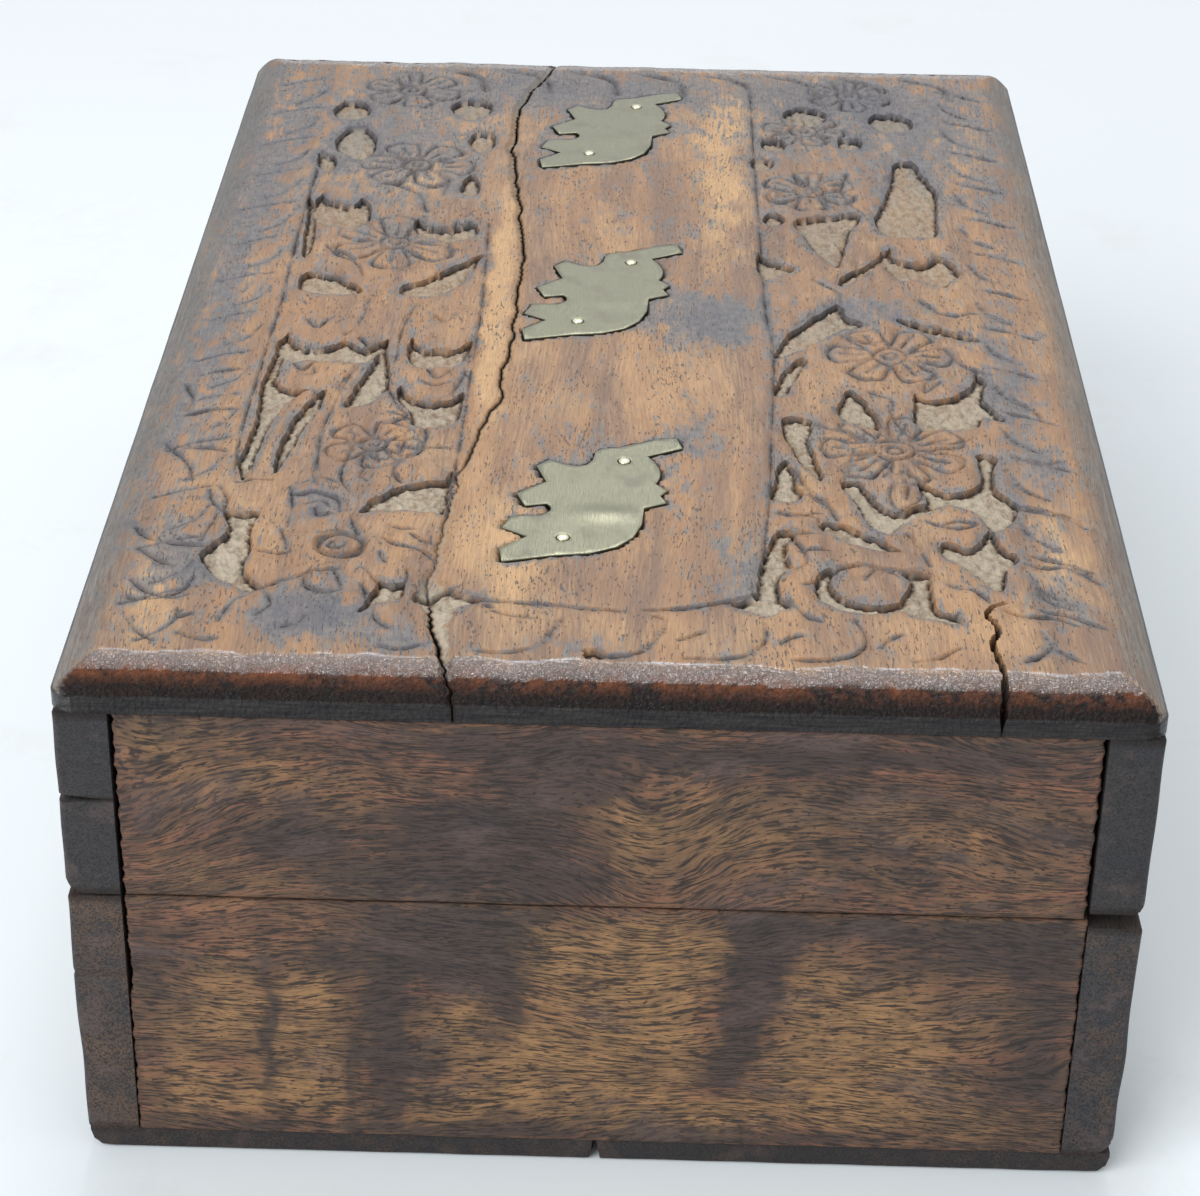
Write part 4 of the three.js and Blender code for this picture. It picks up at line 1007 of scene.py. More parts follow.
# %% What the finish of the top reads
DUST_ALONG = ((-100, 0.35), (-50, 0.5), (0, 0.65), (45, 0.95), (100, 1.0))
# Each spot: its middle, its reach along and across the box, and its strength.
TOP_STAINS = [
    (86, -36, 6, 6, 1.0), (91, -24, 4, 5, 0.5), (2, 12, 10, 9, 0.8), (-2, 34, 6, 8, 0.5),
    (91, -2, 3, 4, 0.5), (40, 10, 16, 4, 0.35), (70, 14, 10, 3, 0.4), (75, -52, 8, 4, 0.5),
    (20, 52, 20, 4, 0.4), (-60, -40, 30, 12, 0.3), (-85, -10, 10, 20, 0.5), (-70, 45, 20, 12, 0.4),
    (-85, 30, 8, 14, 0.5), (58, -37, 6, 3, 0.5), (-10, -56, 60, 4, 0.4), (45, 55, 8, 3, 0.3),
    (-30, 5, 4, 8, 0.3), (0, -62, 130, 4, 0.35), (72, 52, 24, 5, 0.15), (35, -6, 18, 8, 0.2),
]
TOP_LIGHTS = [
    (0, -17.8, 45, 1.6, 1.0), (70, -12, 14, 5, 0.6), (45, -4, 20, 8, 0.1), (20, 4, 10, 9, 0.15),
    (-40, 14, 22, 3, 0.7), (84, 44, 8, 12, 0.3), (66, 54, 12, 2, 0.5), (78, -55, 10, 2, 0.5),
    (-48, -34, 8, 8, 0.5), (-75, 15, 16, 4, 0.6), (88, 4, 5, 20, 0.1),
]


def spots(a, b, places, seed):
    """Soft blotches: each falls off as the Gauss bell over its own two widths, on slightly warped points."""
    wa = a + 0.8 * waves(a / 11, b / 11, seed) + 0.4 * waves(a / 3, b / 3, seed + 1)
    wb = b + 0.8 * waves(a / 11, b / 11, seed + 2) + 0.4 * waves(a / 3, b / 3, seed + 3)
    total = np.zeros(a.shape)
    for ca, cb, ra, rb, strength in places:
        total = total + strength * np.exp(-((wa - ca) / ra) ** 2 - ((wb - cb) / rb) ** 2)
    return np.clip(total, 0, 1)


def top_marks(relief, out, plain, long_side):
    """Marks from 0 to 1 at each point: darkening in the cuts, the crack, the split, the nail hole and round
    the plates, partly soiling and partly painted shade; dust on the ground, patina, figure, and a pale line
    on the near arris, partly rubbed and partly a painted highlight.
    """
    x, y = relief["x"], relief["y"]
    wood = 1 - relief["floor"]
    # The walls of the cuts are darkened: partly soiling and partly painted shade.
    wall = (0.9 + 0.15 * waves(x / 2.2, y / 2.2, 95)) * plain * ease(relief["cut"] / 0.5) * wood
    grey = 0.1 + 0.08 * ease((np.abs(y) - 48) / 8) + 0.2 * ease((-10 - x) / 60)
    grey = grey + 0.38 * np.maximum(relief["halo"] * wood, relief["rim"])
    # A pale line along the near arris: rubbed wood and a painted highlight.
    arris = np.exp(-((out - 0.06) / 0.045) ** 2) * ease((x - 92) / 2) * (0.7 + 0.4 * waves(x / 3, y / 6, 93))
    # The split's edges and the nail hole are darkened: painted shade in the gap and in the hole.
    at_split = 0.9 * ease(1.5 - relief["from split"] / 0.2) * (0.4 + 0.6 * ease(np.abs(x - 66) / 12 - 0.8))
    at_hole = ease(1.5 - relief["hole"] / 0.75)
    settled = (0.35 + 0.65 * ease((x - 77) / 4)) * plain * ease(relief["trench"] / 0.4)
    dusty = np.interp(x, *np.transpose(DUST_ALONG)) * plain * relief["floor"]
    rim = (np.abs(x) > TOP_HALF_LENGTH - 0.01) | (np.abs(y) > TOP_HALF_WIDTH - 0.01)
    return {"grime_and_painted_shade": np.maximum.reduce([wall, relief["crack_shade_and_dirt"], at_hole, at_split, relief["seat"]]),
            "dust": np.maximum(dusty, settled * ease(relief["from split"] / 0.4)),
            "line": plain * relief["line"], "out": np.where(rim, 1.3, out),
            "stain": np.clip(spots(x, y, TOP_STAINS, 91) + grey, 0, 1.3),
            "figure": spots(x, y, TOP_LIGHTS, 92),
            "wear_and_highlight": np.clip(arris, 0, 1) * (1 - long_side), "side": long_side}


print("stains", len(TOP_STAINS), "and light patches", len(TOP_LIGHTS))

# %% Carve the top
CORNERS_BEGIN = 50


def carve_top(name, row_step, columns, side, ground, cuts):
    """One half of the top as a closed board: grid, relief, rounded corners, height and marks."""
    x, y, edge = top_grid(row_step, columns, side)
    relief = carved(x, y, row_step, side, ground, cuts)
    aged(relief, edge, side)
    x, y = relief["x"], relief["y"]
    outer = np.clip((np.abs(y) - CORNERS_BEGIN) / (TOP_HALF_WIDTH - CORNERS_BEGIN), 0, 1)
    y_real = np.sign(y) * (np.abs(y) - outer * (TOP_HALF_WIDTH - half_width(x)))
    drop, out, long_side = moulding(x, y)
    plain = 1 - ease((out - 0.02) / 0.1)
    z = top_height(relief, drop, out, plain)
    marks = top_marks(relief, out, plain, long_side)
    made = closed_board(name, np.stack([x, y_real, z], -1), 2, TOP_UNDERSIDE, marks)
    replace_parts(made, "lid_top_board")
    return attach(made, "lid")


left_columns = np.concatenate([lines(-TOP_HALF_WIDTH, -58.4, 0.5), np.arange(-58, -50, 0.3),
                               np.arange(-50, -20.3, 0.26), lines(-20, -18.2, 0.3)])
left_top = carve_top("lid_top_board_left", 0.25, left_columns, -1, LEFT_GROUND, LEFT_LINES)
right_columns = np.concatenate([lines(-18.2, -16.4, 0.3), np.arange(-16, -4.2, 0.6), np.arange(-4, 0.5, 0.25),
                                np.arange(0.8, 17, 0.6), np.arange(17.2, 50, 0.3),
                                np.arange(50.2, 58, 0.36), lines(58.4, TOP_HALF_WIDTH, 0.55)])
right_ground = RIGHT_GROUND + LEFT_GROUND[2:3]
right_top = carve_top("lid_top_board_right", 0.28, right_columns, 1, right_ground, RIGHT_LINES)

# %% [markdown]
# ## Plain boards
# The walls are butt jointed: the long boards run past the end boards, so their end grain shows at both
# ends. The wood has shrunk, so the joints have opened, the edges are rubbed round, and a few chips are gone.


# %% End boards
CLOSED_BACK = 0.36
CHIP_REACH = 4
END_INNER_FACE = 91.0


def end_board(node, body, sign, lights, darks, chips):
    """An end board: a face at the box's end with rubbed edges, ragged ends and chipped long edges."""
    low, high = box_mm(node)
    y0, y1 = low[1], high[1] + (CLOSED_BACK if body == "base" else 0)
    z0, z1 = (low[2] - 0.1, high[2] - 0.05) if body == "lid" else (low[2] + 0.05, high[2])
    y, z = np.meshgrid(lines(y0, y1, 0.45, 0.6), lines(z0, z1, 0.42, 0.3), indexing="ij")
    worn = rounding(y, z, (y0, y1), (z0, z1), 0.32)
    middle = (y0 + y1) / 2
    ragged = 0.16 * waves(z / 2.5, z * 0, low[2] + sign) + 0.1 * waves(z / 0.9, z * 0, low[2] + 3)
    y_out = np.where(y > middle, 1, -1)
    reach = np.clip((np.abs(y - middle) - (y1 - middle - 3)) / 3, 0, 1)
    front_gap = 0.34 * ease((25.5 - z) / 2) if body == "base" else 0
    y = y + y_out * reach * (ragged - 0.12) - front_gap * reach * (y_out < 0)
    z_edge = low[2] if body == "lid" else high[2]
    for at, wide, deep in chips:
        bite = deep * np.exp(-((y - at) / wide) ** 2)
        off_edge = np.abs(z - z_edge)
        z = z + (z_edge - z) * -bite * ease(1 - off_edge / CHIP_REACH) / np.maximum(off_edge, 0.3) * 0.3
    drop = np.maximum(worn + 0.1 + 0.06 * waves(y / 20, z / 9, 15 + sign), 0)
    x = (high[0] if sign > 0 else low[0]) - sign * drop
    face = np.stack([x, y, z], -1)
    to_edge = np.minimum(np.minimum(y - y0, y1 - y), np.minimum(z - z0, z1 - z))
    browner = 0.12 if body == "lid" else 0.0
    on_face = ease(to_edge / 0.8)
    uneven = 0.6 + 0.4 * waves(y / 5, z / 5, 3) * on_face
    marks = {"figure": spots(y, z, lights, 7 + low[2]) * (1 - 4 * browner) * on_face,
             "stain": (spots(y, z, darks, 9 + low[2]) + browner) * on_face,
             "grime_and_painted_shade": 0.5 * ease(1.2 - to_edge / 0.6) * uneven, "ribbon": ease(to_edge / 1.5)}
    made = closed_board(node + "_wood", face, 0, sign * END_INNER_FACE, marks)
    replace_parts(made, node)
    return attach(made, body)


# %% Make the end boards
# Each spot: its middle across the box and above the table, its two reaches, and its strength.
BASE_NEAR_LIGHTS = [
    (-45, 24, 5, 7, .7), (-35, 25, 3.6, 4, 1), (-36, 14, 5, 6, .8), (-51, 12, 3, 8, .5),
    (-44, 8, 8, 3, .6), (-27, 28, 2, 6, .3), (-17, 22, 2.5, 6, .45), (-15, 9, 8, 4, .8),
    (-2, 33, 7, 4, .7), (1, 28, 8, 6, .9), (9, 32, 6, 4, .8), (7, 21, 7, 6, .9), (-5, 15, 8, 6, .8),
    (6, 8, 8, 4, .8), (26, 27, 5, 4, .9), (33, 25, 5, 3, .6), (25, 16, 5, 7, .8), (36, 18, 6, 6, .7),
    (33, 9, 8, 4, .7), (46, 25, 5, 5, .35), (17, 8, 4, 3, .5), (46, 8, 6, 3, .4), (-38, 33, 8, 3, .25),
    (42, 13, 4, 4, .4),
]
BASE_NEAR_DARKS = [
    (-19, 33, 9, 6, 1), (-26, 18, 2, 14, .9), (-12, 25, 2.5, 7, .6), (19, 36, 3.5, 4, 1),
    (18.5, 30, 2.4, 5, 1), (17.5, 23, 2.4, 5, 1), (15.5, 16, 2.4, 4, .9), (49, 35, 12, 5, .7),
    (52, 20, 5, 12, .5), (27, 37, 10, 2, .6), (-30, 12, 1, 10, .6), (-40, 20, 0.9, 12, .7),
    (-54, 30, 4, 8, .4), (-33, 31, 3, 3, .5), (-21, 14, 3, 4, .5), (0, 2, 70, 4, .8),
]
LID_NEAR_LIGHTS = [
    (-52, 60, 6, 4, .8), (-49, 55, 8, 3, .7), (-40, 58, 8, 4, .6), (-52, 45, 5, 4, .6),
    (-30, 53, 6, 3, .6), (-46, 42, 7, 2, .4), (3, 47, 5, 6, .9), (9, 53, 6, 4, .5), (15, 48, 10, 5, .4),
    (36, 54, 10, 5, .35), (46, 52, 6, 7, .5), (24, 44, 6, 3, .5), (-20, 56, 6, 2, .35), (52, 46, 4, 5, .4),
    (12, 60, 8, 3, .3),
]
LID_NEAR_DARKS = [
    (-8, 61, 16, 2.5, .8), (-15, 48, 9, 5, 1), (-36, 47, 6, 4, .6), (22, 60, 12, 2, .5),
    (-22, 43, 8, 2.5, .7), (-4, 56, 8, 3, .5), (40, 61, 14, 2, .5), (30, 47, 5, 3, .3), (-6, 42, 5, 3, .6),
]
FAR_LIGHTS = [
    (-40, 20, 12, 8, .6), (0, 14, 20, 6, .5), (35, 24, 12, 6, .6), (-30, 55, 14, 5, .5),
    (25, 52, 16, 5, .5),
]
FAR_DARKS = [
    (-15, 28, 10, 6, .6), (20, 10, 12, 5, .6), (0, 58, 18, 4, .5), (45, 48, 8, 6, .5),
]
# Each chip: where it is across the box, how wide and how deep.
BASE_NEAR_CHIPS = [(2, 5, 0.5), (-45, 3, 0.4)]
LID_NEAR_CHIPS = [(34, .6, .8), (45, 1.2, .9), (55.5, 1, 1)]

end_board("base_right_end_board", "base", 1, BASE_NEAR_LIGHTS, BASE_NEAR_DARKS, BASE_NEAR_CHIPS)
end_board("lid_right_end_board", "lid", 1, LID_NEAR_LIGHTS, LID_NEAR_DARKS, LID_NEAR_CHIPS)
end_board("base_left_end_board", "base", -1, FAR_LIGHTS, FAR_DARKS, [(10, 6, 0.4)])
end_board("lid_left_end_board", "lid", -1, FAR_LIGHTS, FAR_DARKS, [(-30, 2, 0.8)])


# %% Long boards
NAIL_FIELD = 12.0
NAIL_DENT = 0.22
END_STAIN = {("lid", -1): 0.75, ("lid", 1): 0.75, ("base", -1): 0, ("base", 1): 0.25}


def long_board(node, body, side, worn_low, worn_high, cracks):
    """A long board: its face at the box's side, worn round along one edge, with cracks in its end grain."""
    low, high = box_mm(node)
    z0, z1 = low[2] + 0.02, high[2] - 0.02
    rows = np.concatenate([lines(low[0], low[0] + NAIL_FIELD, 0.5, 0.8), np.arange(-88.5, 88.6, 1.0),
                           lines(high[0] - NAIL_FIELD, high[0], 0.5, 0.8)])
    x, z = np.meshgrid(rows, lines(z0, z1, 0.55, 0.8), indexing="ij")
    drop = rounding(x, z, (low[0], high[0]), (z0 - 9, z1 + 9), 0.8)
    for radius, distance in ((worn_low, z - z0), (worn_high, z1 - z)):
        into = np.maximum(radius - distance, 0)
        drop = np.maximum(drop, radius - np.sqrt(np.maximum(radius ** 2 - into ** 2, 0)))
    worn_foot = 0.25 * ease((20 - z) / 20) if body == "base" else 0
    drop = drop + 0.14 + 0.1 * waves(x / 45, z / 14, z0 + side) + worn_foot
    grime_and_painted_shade = ease(1.2 - np.minimum(z - z0, z1 - z) / 1.2) * 0.6
    for at, reach, depth in cracks:
        off_crack = np.abs(z - at - 0.25 * waves(x / 8, z * 0, at))
        open_part = ease(1.2 - off_crack / 0.3) * ease((x - high[0] + reach) / 3)
        drop = drop + depth * open_part
        grime_and_painted_shade = np.maximum(grime_and_painted_shade, open_part)
    nails = f"{body}_corner_nail_{'front' if side < 0 else 'back'}"
    for nail in [node_name for node_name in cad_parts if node_name.startswith(nails)]:
        a, b = box_mm(nail)
        dent = ease(1.5 - np.hypot(x - (a[0] + b[0]) / 2, z - (a[2] + b[2]) / 2) / 1.5)
        drop = drop + NAIL_DENT * dent
        grime_and_painted_shade = np.maximum(grime_and_painted_shade, dent)
    outer, inner = (high[1], low[1]) if side > 0 else (low[1], high[1])
    face = np.stack([x, outer - side * np.maximum(drop, 0), z], -1)
    figured = spots(x, z, [(-60, z0 + 9, 25, 6, .5), (20, z0 + 14, 30, 7, .6), (75, z0 + 8, 14, 5, .4)], z0)
    stained = spots(x, z, [(-20, z0 + 16, 22, 5, .5), (60, z0 + 20, 16, 5, .5), (98, z0 + 12, 6, 20, .6)], z1)
    stained = np.where(np.abs(x) > high[0] - 0.01, END_STAIN[body, side], stained)
    made = closed_board(node + "_wood", face, 1, inner, {"figure": figured, "stain": stained, "grime_and_painted_shade": grime_and_painted_shade})
    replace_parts(made, node)
    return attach(made, body)


# Each crack: its height above the table, its length and its depth.
long_board("lid_front_board", "lid", -1, 2.5, 0.4, [(52.7, 14, 4.6)])
long_board("lid_back_board", "lid", 1, 1.6, 0.4, [])
long_board("base_front_board", "base", -1, 0.6, 0.8, [(27, 8, 0.5)])
long_board("base_back_board", "base", 1, 3.5, 0.8, [])


# %% Bottom board
def bottom_board():
    """The bottom, face down: worn round along its long edges, with a split that opens at the near end."""
    low, high = box_mm("base_bottom_board")
    rows = np.concatenate([lines(low[0], low[0] + 8, 0.8, 0.5), np.arange(low[0] + 9, high[0] - 12, 1.4),
                           lines(high[0] - 11, high[0], 0.6, 0.5)])
    columns = np.concatenate([lines(low[1], -4, 0.9, 2.6), np.arange(-3.5, 3, 0.3),
                              lines(3.4, high[1], 0.9, 2.6)])
    x, y = np.meshgrid(rows, columns, indexing="ij")
    rise = rounding(x, y, (low[0] - 9, high[0] + 9), (low[1], high[1]), 2.6)
    rise = np.maximum(rise, rounding(x, y, (low[0], high[0]), (low[1] - 9, high[1] + 9), 0.5))
    split = np.abs(y + 0.6 - 0.3 * waves(x / 12, x * 0, 5)) / (0.16 + 0.34 * ease((x - 97) / 4))
    open_part = ease(1.3 - split) * ease((x - 55) / 20)
    rise = np.minimum(rise + 2.9 * open_part + 0.08 + 0.05 * waves(x / 30, y / 12, 8), high[2] - 0.12)
    face = np.stack([x, y, low[2] + np.maximum(rise, 0)], -1)
    marks = {"figure": x * 0, "stain": 0.35 + spots(x, y, [(60, 20, 40, 20, .5), (-40, -20, 50, 20, .5)], 4),
             "grime_and_painted_shade": np.maximum(open_part, 0.35)}
    made = closed_board("base_bottom_board_wood", face, 2, high[2], marks)
    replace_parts(made, "base_bottom_board")
    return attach(made, "base")


bottom_board()

# %% [markdown]
# ## Sheesham
# Sheesham is an open-grained rosewood: golden to purplish brown, with dark pores drawn out along the grain.
# Here a century of handling has left grey patina in the hollows, pale dust on the carved ground and a
# rubbed shine on the edges. The dark in the cuts, cracks and gaps is partly soiling and partly painted
# shade. All patterns read the grain coordinates in millimetres, so bands, fibres and pores run along each
# board and show as end grain where a board is cut across.


# %% Patterns and colours of the wood
MARKS = ("grime_and_painted_shade", "dust", "line", "out", "side", "stain", "figure", "wear_and_highlight", "ribbon")
# Each pattern: its length along the grain and its two widths across it in mm, and its detail.
PATTERNS = {
    "band": (60, 5, 5, 3), "streak": (7, 0.42, 0.42, 3), "hair": (2.2, 0.15, 0.15, 2),
    "pore": (1.2, 0.3, 0.3, 1), "cloud": (12, 5, 5, 4), "hue": (24, 9, 9, 3), "layer": (16, 6, 0.4, 3),
    "speck": (1.1, 0.9, 0.9, 4), "cross": (2.4, 12, 12, 3), "dash": (2.4, 0.27, 0.27, 2),
    "blotch": (4, 2.2, 2.2, 4),
}
# How far each sign stands above the wood or sinks into it, in mm.
RISES = (("hair", 0.03), ("streak", 0.05), ("speck", 0.03), ("dark streaks", -0.02), ("open pores", -0.07))
WOOD_COLOURS = ("brown", "orange", "gold", "slate", "deep", "pore")
# The first colour is worn varnish and a painted sheen on the upper end moulding.
AGE_COLOURS = {"rubbed_varnish_and_sheen": "#6e5c57", "burnt varnish": "#1f1614", "red_varnish_with_glints": "#77462c",
               # The red varnish colour above also makes painted glints, and the black below is dark varnish
               # and painted shade.
               "blackened_and_shaded": "#120f0f", "grey wood": "#5a5755", "silver wood": "#8a837b",
               # The dark groove colour on the next line paints shade in the V-cuts.
               "dark layer": "#222124", "pale layer": "#393635", "groove_shade": "#453d3b",
               # The soot colour on the next line stands for soiling and for painted shade.
               "bare ground": "#82766a", "brown dust": "#a09280", "grey dust": "#c4b8a4", "soot_and_shade": "#221a15",
               # The pale colour on the next line is rubbed wood and a painted highlight on the arris.
               "bleached_and_highlight": "#bdbac0"}
# Each layer: the colour made, the one below, the one laid over it, the share that it covers, and how.
LAYERS = [
    ("wood", "brown", "orange", "orange bands", "MIX"), ("wood", "wood", "gold", "golden figure", "MIX"),
    ("shade", "slate", "deep", "deep stain", "MIX"), ("wood", "wood", "shade", "dark streaks", "MIX"),
    ("wood", "wood", "pore", "short dashes", "MIX"), ("wood", "wood", "fibres", "all over", "MULTIPLY"),
    ("wood", "wood", "pore", "open pores", "MIX"),
    # The pale upper end moulding: worn varnish and a painted sheen.
    ("wood", "wood", "rubbed_varnish_and_sheen", "turned_over_with_sheen", "MIX"),
    # Down the moulding the varnish darkens to black at the foot: dark varnish and painted shade, with painted
    # glints.
    ("glinting_varnish", "burnt varnish", "red_varnish_with_glints", "painted_glints_in_varnish", "MIX"),
    ("wood", "wood", "glinting_varnish", "aged_varnish_and_shade", "MIX"), ("wood", "wood", "blackened_and_shaded", "black_foot_and_shade", "MIX"),
    ("greyed", "grey wood", "silver wood", "silvered", "MIX"),
    ("wood", "wood", "greyed", "weathered side", "MIX"),
    ("layered", "dark layer", "pale layer", "pale layers", "MIX"),
    ("wood", "wood", "layered", "board edge", "MIX"), ("wood", "wood", "groove_shade", "cut lines", "MIX"),
    ("wood", "wood", "bare ground", "dusty ground", "MIX"),
    ("dusty", "brown dust", "grey dust", "pale dust", "MIX"),
    # The last layer on the next line lays soiling and painted shade.
    ("wood", "wood", "dusty", "settled dust", "MIX"), ("wood", "wood", "soot_and_shade", "dirt_and_painted_shade", "MIX"),
    # The last layer: pale rubbed wood and a painted highlight on the near arris.
    ("wood", "wood", "bleached_and_highlight", "rubbed_edge_and_highlight", "MIX"),
]
print("patterns", len(PATTERNS), "and layers of colour", len(LAYERS))


# %% What the colours are laid by
def wood_signs(tree):
    """What the shares are summed from: the boards' marks, and one noise for each pattern, in grain mm."""
    grain = add(tree, "ShaderNodeAttribute", {}, "Vector", attribute_name="grain")
    sign = {mark: add(tree, "ShaderNodeAttribute", {}, "Fac", attribute_name=mark) for mark in MARKS}
    for pattern, (length, width, depth, detail) in PATTERNS.items():
        scaled = add(tree, "ShaderNodeVectorMath", {0: grain, 1: (1 / length, 1 / width, 1 / depth)},
                     operation="MULTIPLY")
        sign[pattern] = add(tree, "ShaderNodeTexNoise", {"Vector": scaled, "Scale": 1.0, "Detail": detail,
                                                         "Roughness": 0.6, "Distortion": 0.1})
    sign["pebble"] = add(tree, "ShaderNodeTexNoise", {"Vector": grain, "Scale": 1.8, "Detail": 1.5,
                                                      "Roughness": 0.45})
    ribbon = add(tree, "ShaderNodeMath", {0: sign["cross"], 1: -0.5}, operation="ADD")
    sign["cross"] = add(tree, "ShaderNodeMath", {0: ribbon, 1: sign["ribbon"]}, operation="MULTIPLY")
    return sign


def wood_shares(cover, pores, cross, soft, dashes):
    """Each share of a colour: its name, the sum at which it is none and the sum at which it is most, that
    most, what the sum starts from, and the weight of each sign in it."""
    return [
        ("orange bands", 0.4, 0.6, 1, 0, {"band": 1}),
        ("golden figure", 0.2, 0.7, 1, -0.75, {"figure": 0.75, "hue": 1.1, "streak": 0.9}),
        ("dark streaks", 0.075 - soft, 0.19 + soft, 0.84, cover - 1.05,
         {"stain": 0.55, "cloud": 0.4, "blotch": 0.75, "streak": 0.8, "hair": 0.15, "cross": cross}),
        ("deep stain", 0.68, 1.04, 1, 0, {"stain": 0.4, "speck": 0.9, "streak": 0.35}),
        ("short dashes", 0.48, 0.6, dashes, 0, {"dash": 1}),
        ("open pores", 0.88 - pores, 0.93 - pores, 0.85, 0, {"cloud": 0.35, "pore": 1}),
        # Pale upper end moulding: worn varnish and a painted sheen.
        ("turned_over_with_sheen", 0.27, 0.45, 0.85, 0, {"cloud": 0.5, "out": 1, "side": -1}),
        # Orange specks in dark varnish: red varnish and painted glints; the next rows darken the lower
        # moulding, partly painted shade.
        ("painted_glints_in_varnish", 0.66, 0.98, 1, 0, {"speck": 0.6, "cloud": 1}),
        ("aged_varnish_and_shade", 0.5, 0.8, 1, 0, {"cloud": 0.5, "out": 1, "side": -1}),
        ("black_foot_and_shade", 0.85, 1.1, 0.95, 0, {"cloud": 0.5, "out": 1, "side": -0.25}),
        ("silvered", 0.5, 0.85, 1, 0, {"streak": 1, "hair": 0.4, "stain": -0.3}),
        ("weathered side", 1.5, 1.95, 0.8, 0, {"side": 1, "cloud": 0.4, "streak": 0.8, "out": 0.6}),
        ("pale layers", 0.35, 0.65, 1, 0, {"layer": 1}),
        ("board edge", 1.02, 1.2, 1, 0, {"out": 1}),
        # Cut lines: painted shade in the V-cuts.
        ("cut lines", 0, 1, 0.62, 0, {"line": 1}),
        ("dusty ground", 0.2, 1.0, 0.6, 0, {"dust": 1}),
        ("dust in patches", 0.6, 0.95, 1, 0, {"cloud": 0.9, "speck": 1}),
        ("pale dust", 0.55, 1.05, 1, 0, {"cloud": 0.6, "speck": 1}),
        # Soiling and painted shade, laid where the boards are marked dark.
        ("dirt_and_painted_shade", 0.05, 0.9, 0.93, 0, {"grime_and_painted_shade": 1}),
        # The pale arris: rubbed wood and a painted highlight.
        ("rubbed_edge_and_highlight", 0.3, 0.9, 0.75, -0.45, {"speck": 0.9, "wear_and_highlight": 1}),
        ("varnish", 0.04, 0.2, 1, 0, {"out": 1, "side": -1})]


def add_shares(tree, sign, shares):
    """Adds up each share, and keeps it among the signs, as later sums and the relief read it too."""
    for share, none, full, most, start, parts in shares:
        total = start
        for part, weight in parts.items():
            total = add(tree, "ShaderNodeMath", {0: sign[part], 1: weight, 2: total},
                        operation="MULTIPLY_ADD")
        sign[share] = add(tree, "ShaderNodeMapRange", {"Value": total, "From Min": none, "From Max": full,
                                                       "To Max": most})
    sign["settled dust"] = add(tree, "ShaderNodeMath", {0: sign["dust"], 1: sign["dust in patches"]},
                               operation="MULTIPLY")
    sign["all over"] = 1.0


print("shares of colour", len(wood_shares(0, 0, 0, 0, 0)))


# %% Colour, relief and shine of the wood
def wood_colour(tree, sign, tones):
    """The colours in the order in which they came to lie on the wood: growth first, the rubbed edges with
    their painted highlight last.
    """
    tone = {k: linear(v) for k, v in {**dict(zip(WOOD_COLOURS, tones)), **AGE_COLOURS}.items()}
    tone["fibres"] = add(tree, "ShaderNodeMapRange", {"Value": sign["hair"], "From Min": 0.3, "From Max": 0.7,
                                                      "To Min": 0.78, "To Max": 1.18})
    for made, under, over, share, way in LAYERS:
        tone[made] = add(tree, "ShaderNodeMix", {0: sign[share], 6: tone[under], 7: tone[over]}, 2,
                         data_type="RGBA", blend_type=way)
    return tone["wood"]


def wood_relief(tree, sign):
    """Relief in mm: fibres stand, pores sink, and aged varnish has drawn into pebbles on the moulding."""
    height = add(tree, "ShaderNodeMath", {0: sign["pebble"], 1: sign["varnish"]}, operation="MULTIPLY")
    height = add(tree, "ShaderNodeMath", {0: height, 1: 0.5}, operation="MULTIPLY")
    for part, rise in RISES:
        height = add(tree, "ShaderNodeMath", {0: sign[part], 1: rise, 2: height}, operation="MULTIPLY_ADD")
    fibres = add(tree, "ShaderNodeMath", {0: sign["hair"], 1: sign["weathered side"]}, operation="MULTIPLY")
    height = add(tree, "ShaderNodeMath", {0: fibres, 1: 0.15, 2: height}, operation="MULTIPLY_ADD")
    grit = add(tree, "ShaderNodeMath", {0: sign["dust"], 1: 0.3}, operation="MULTIPLY")
    height = add(tree, "ShaderNodeMath", {0: sign["speck"], 1: grit, 2: height}, operation="MULTIPLY_ADD")
    return add(tree, "ShaderNodeBump", {"Height": height, "Distance": MM, "Strength": 1.0})


def sheesham(name, tones, cover, pores, cross, shine, specular, coat=0.0, soft=0.0, dashes=0.0):
    """Old sheesham. `cover` raises the share of dark streaks, `pores` that of pores, `cross` the cross figure
    and `dashes` that of short dashes. `soft` blurs streaks. Dusty and darkened parts, whose dark is partly
    painted shade, are dull; the rest is waxed."""
    material, tree = empty_material(name)
    sign = wood_signs(tree)
    add_shares(tree, sign, wood_shares(cover, pores, cross, soft, dashes))
    colour = wood_colour(tree, sign, tones)
    bump = wood_relief(tree, sign)
    matt = add(tree, "ShaderNodeMath", {0: sign["dust"], 1: sign["grime_and_painted_shade"]}, operation="MAXIMUM")
    rough = add(tree, "ShaderNodeMapRange", {"Value": matt, "To Min": shine, "To Max": 0.95})
    for part, more in (("varnish", -0.14), ("cloud", 0.16)):
        rough = add(tree, "ShaderNodeMath", {0: sign[part], 1: more, 2: rough}, operation="MULTIPLY_ADD")
    shader = add(tree, "ShaderNodeBsdfPrincipled",
                 {"Base Color": colour, "Roughness": rough, "Normal": bump, "IOR": 1.5,
                  "Specular IOR Level": specular, "Coat Weight": coat, "Coat Roughness": 0.22,
                  "Coat Normal": bump})
    add(tree, "ShaderNodeOutputMaterial", {"Surface": shader})
    return material


TOP_TONES = ("#80624d", "#a27954", "#c49b6d", "#797775", "#485260", "#4b4543")
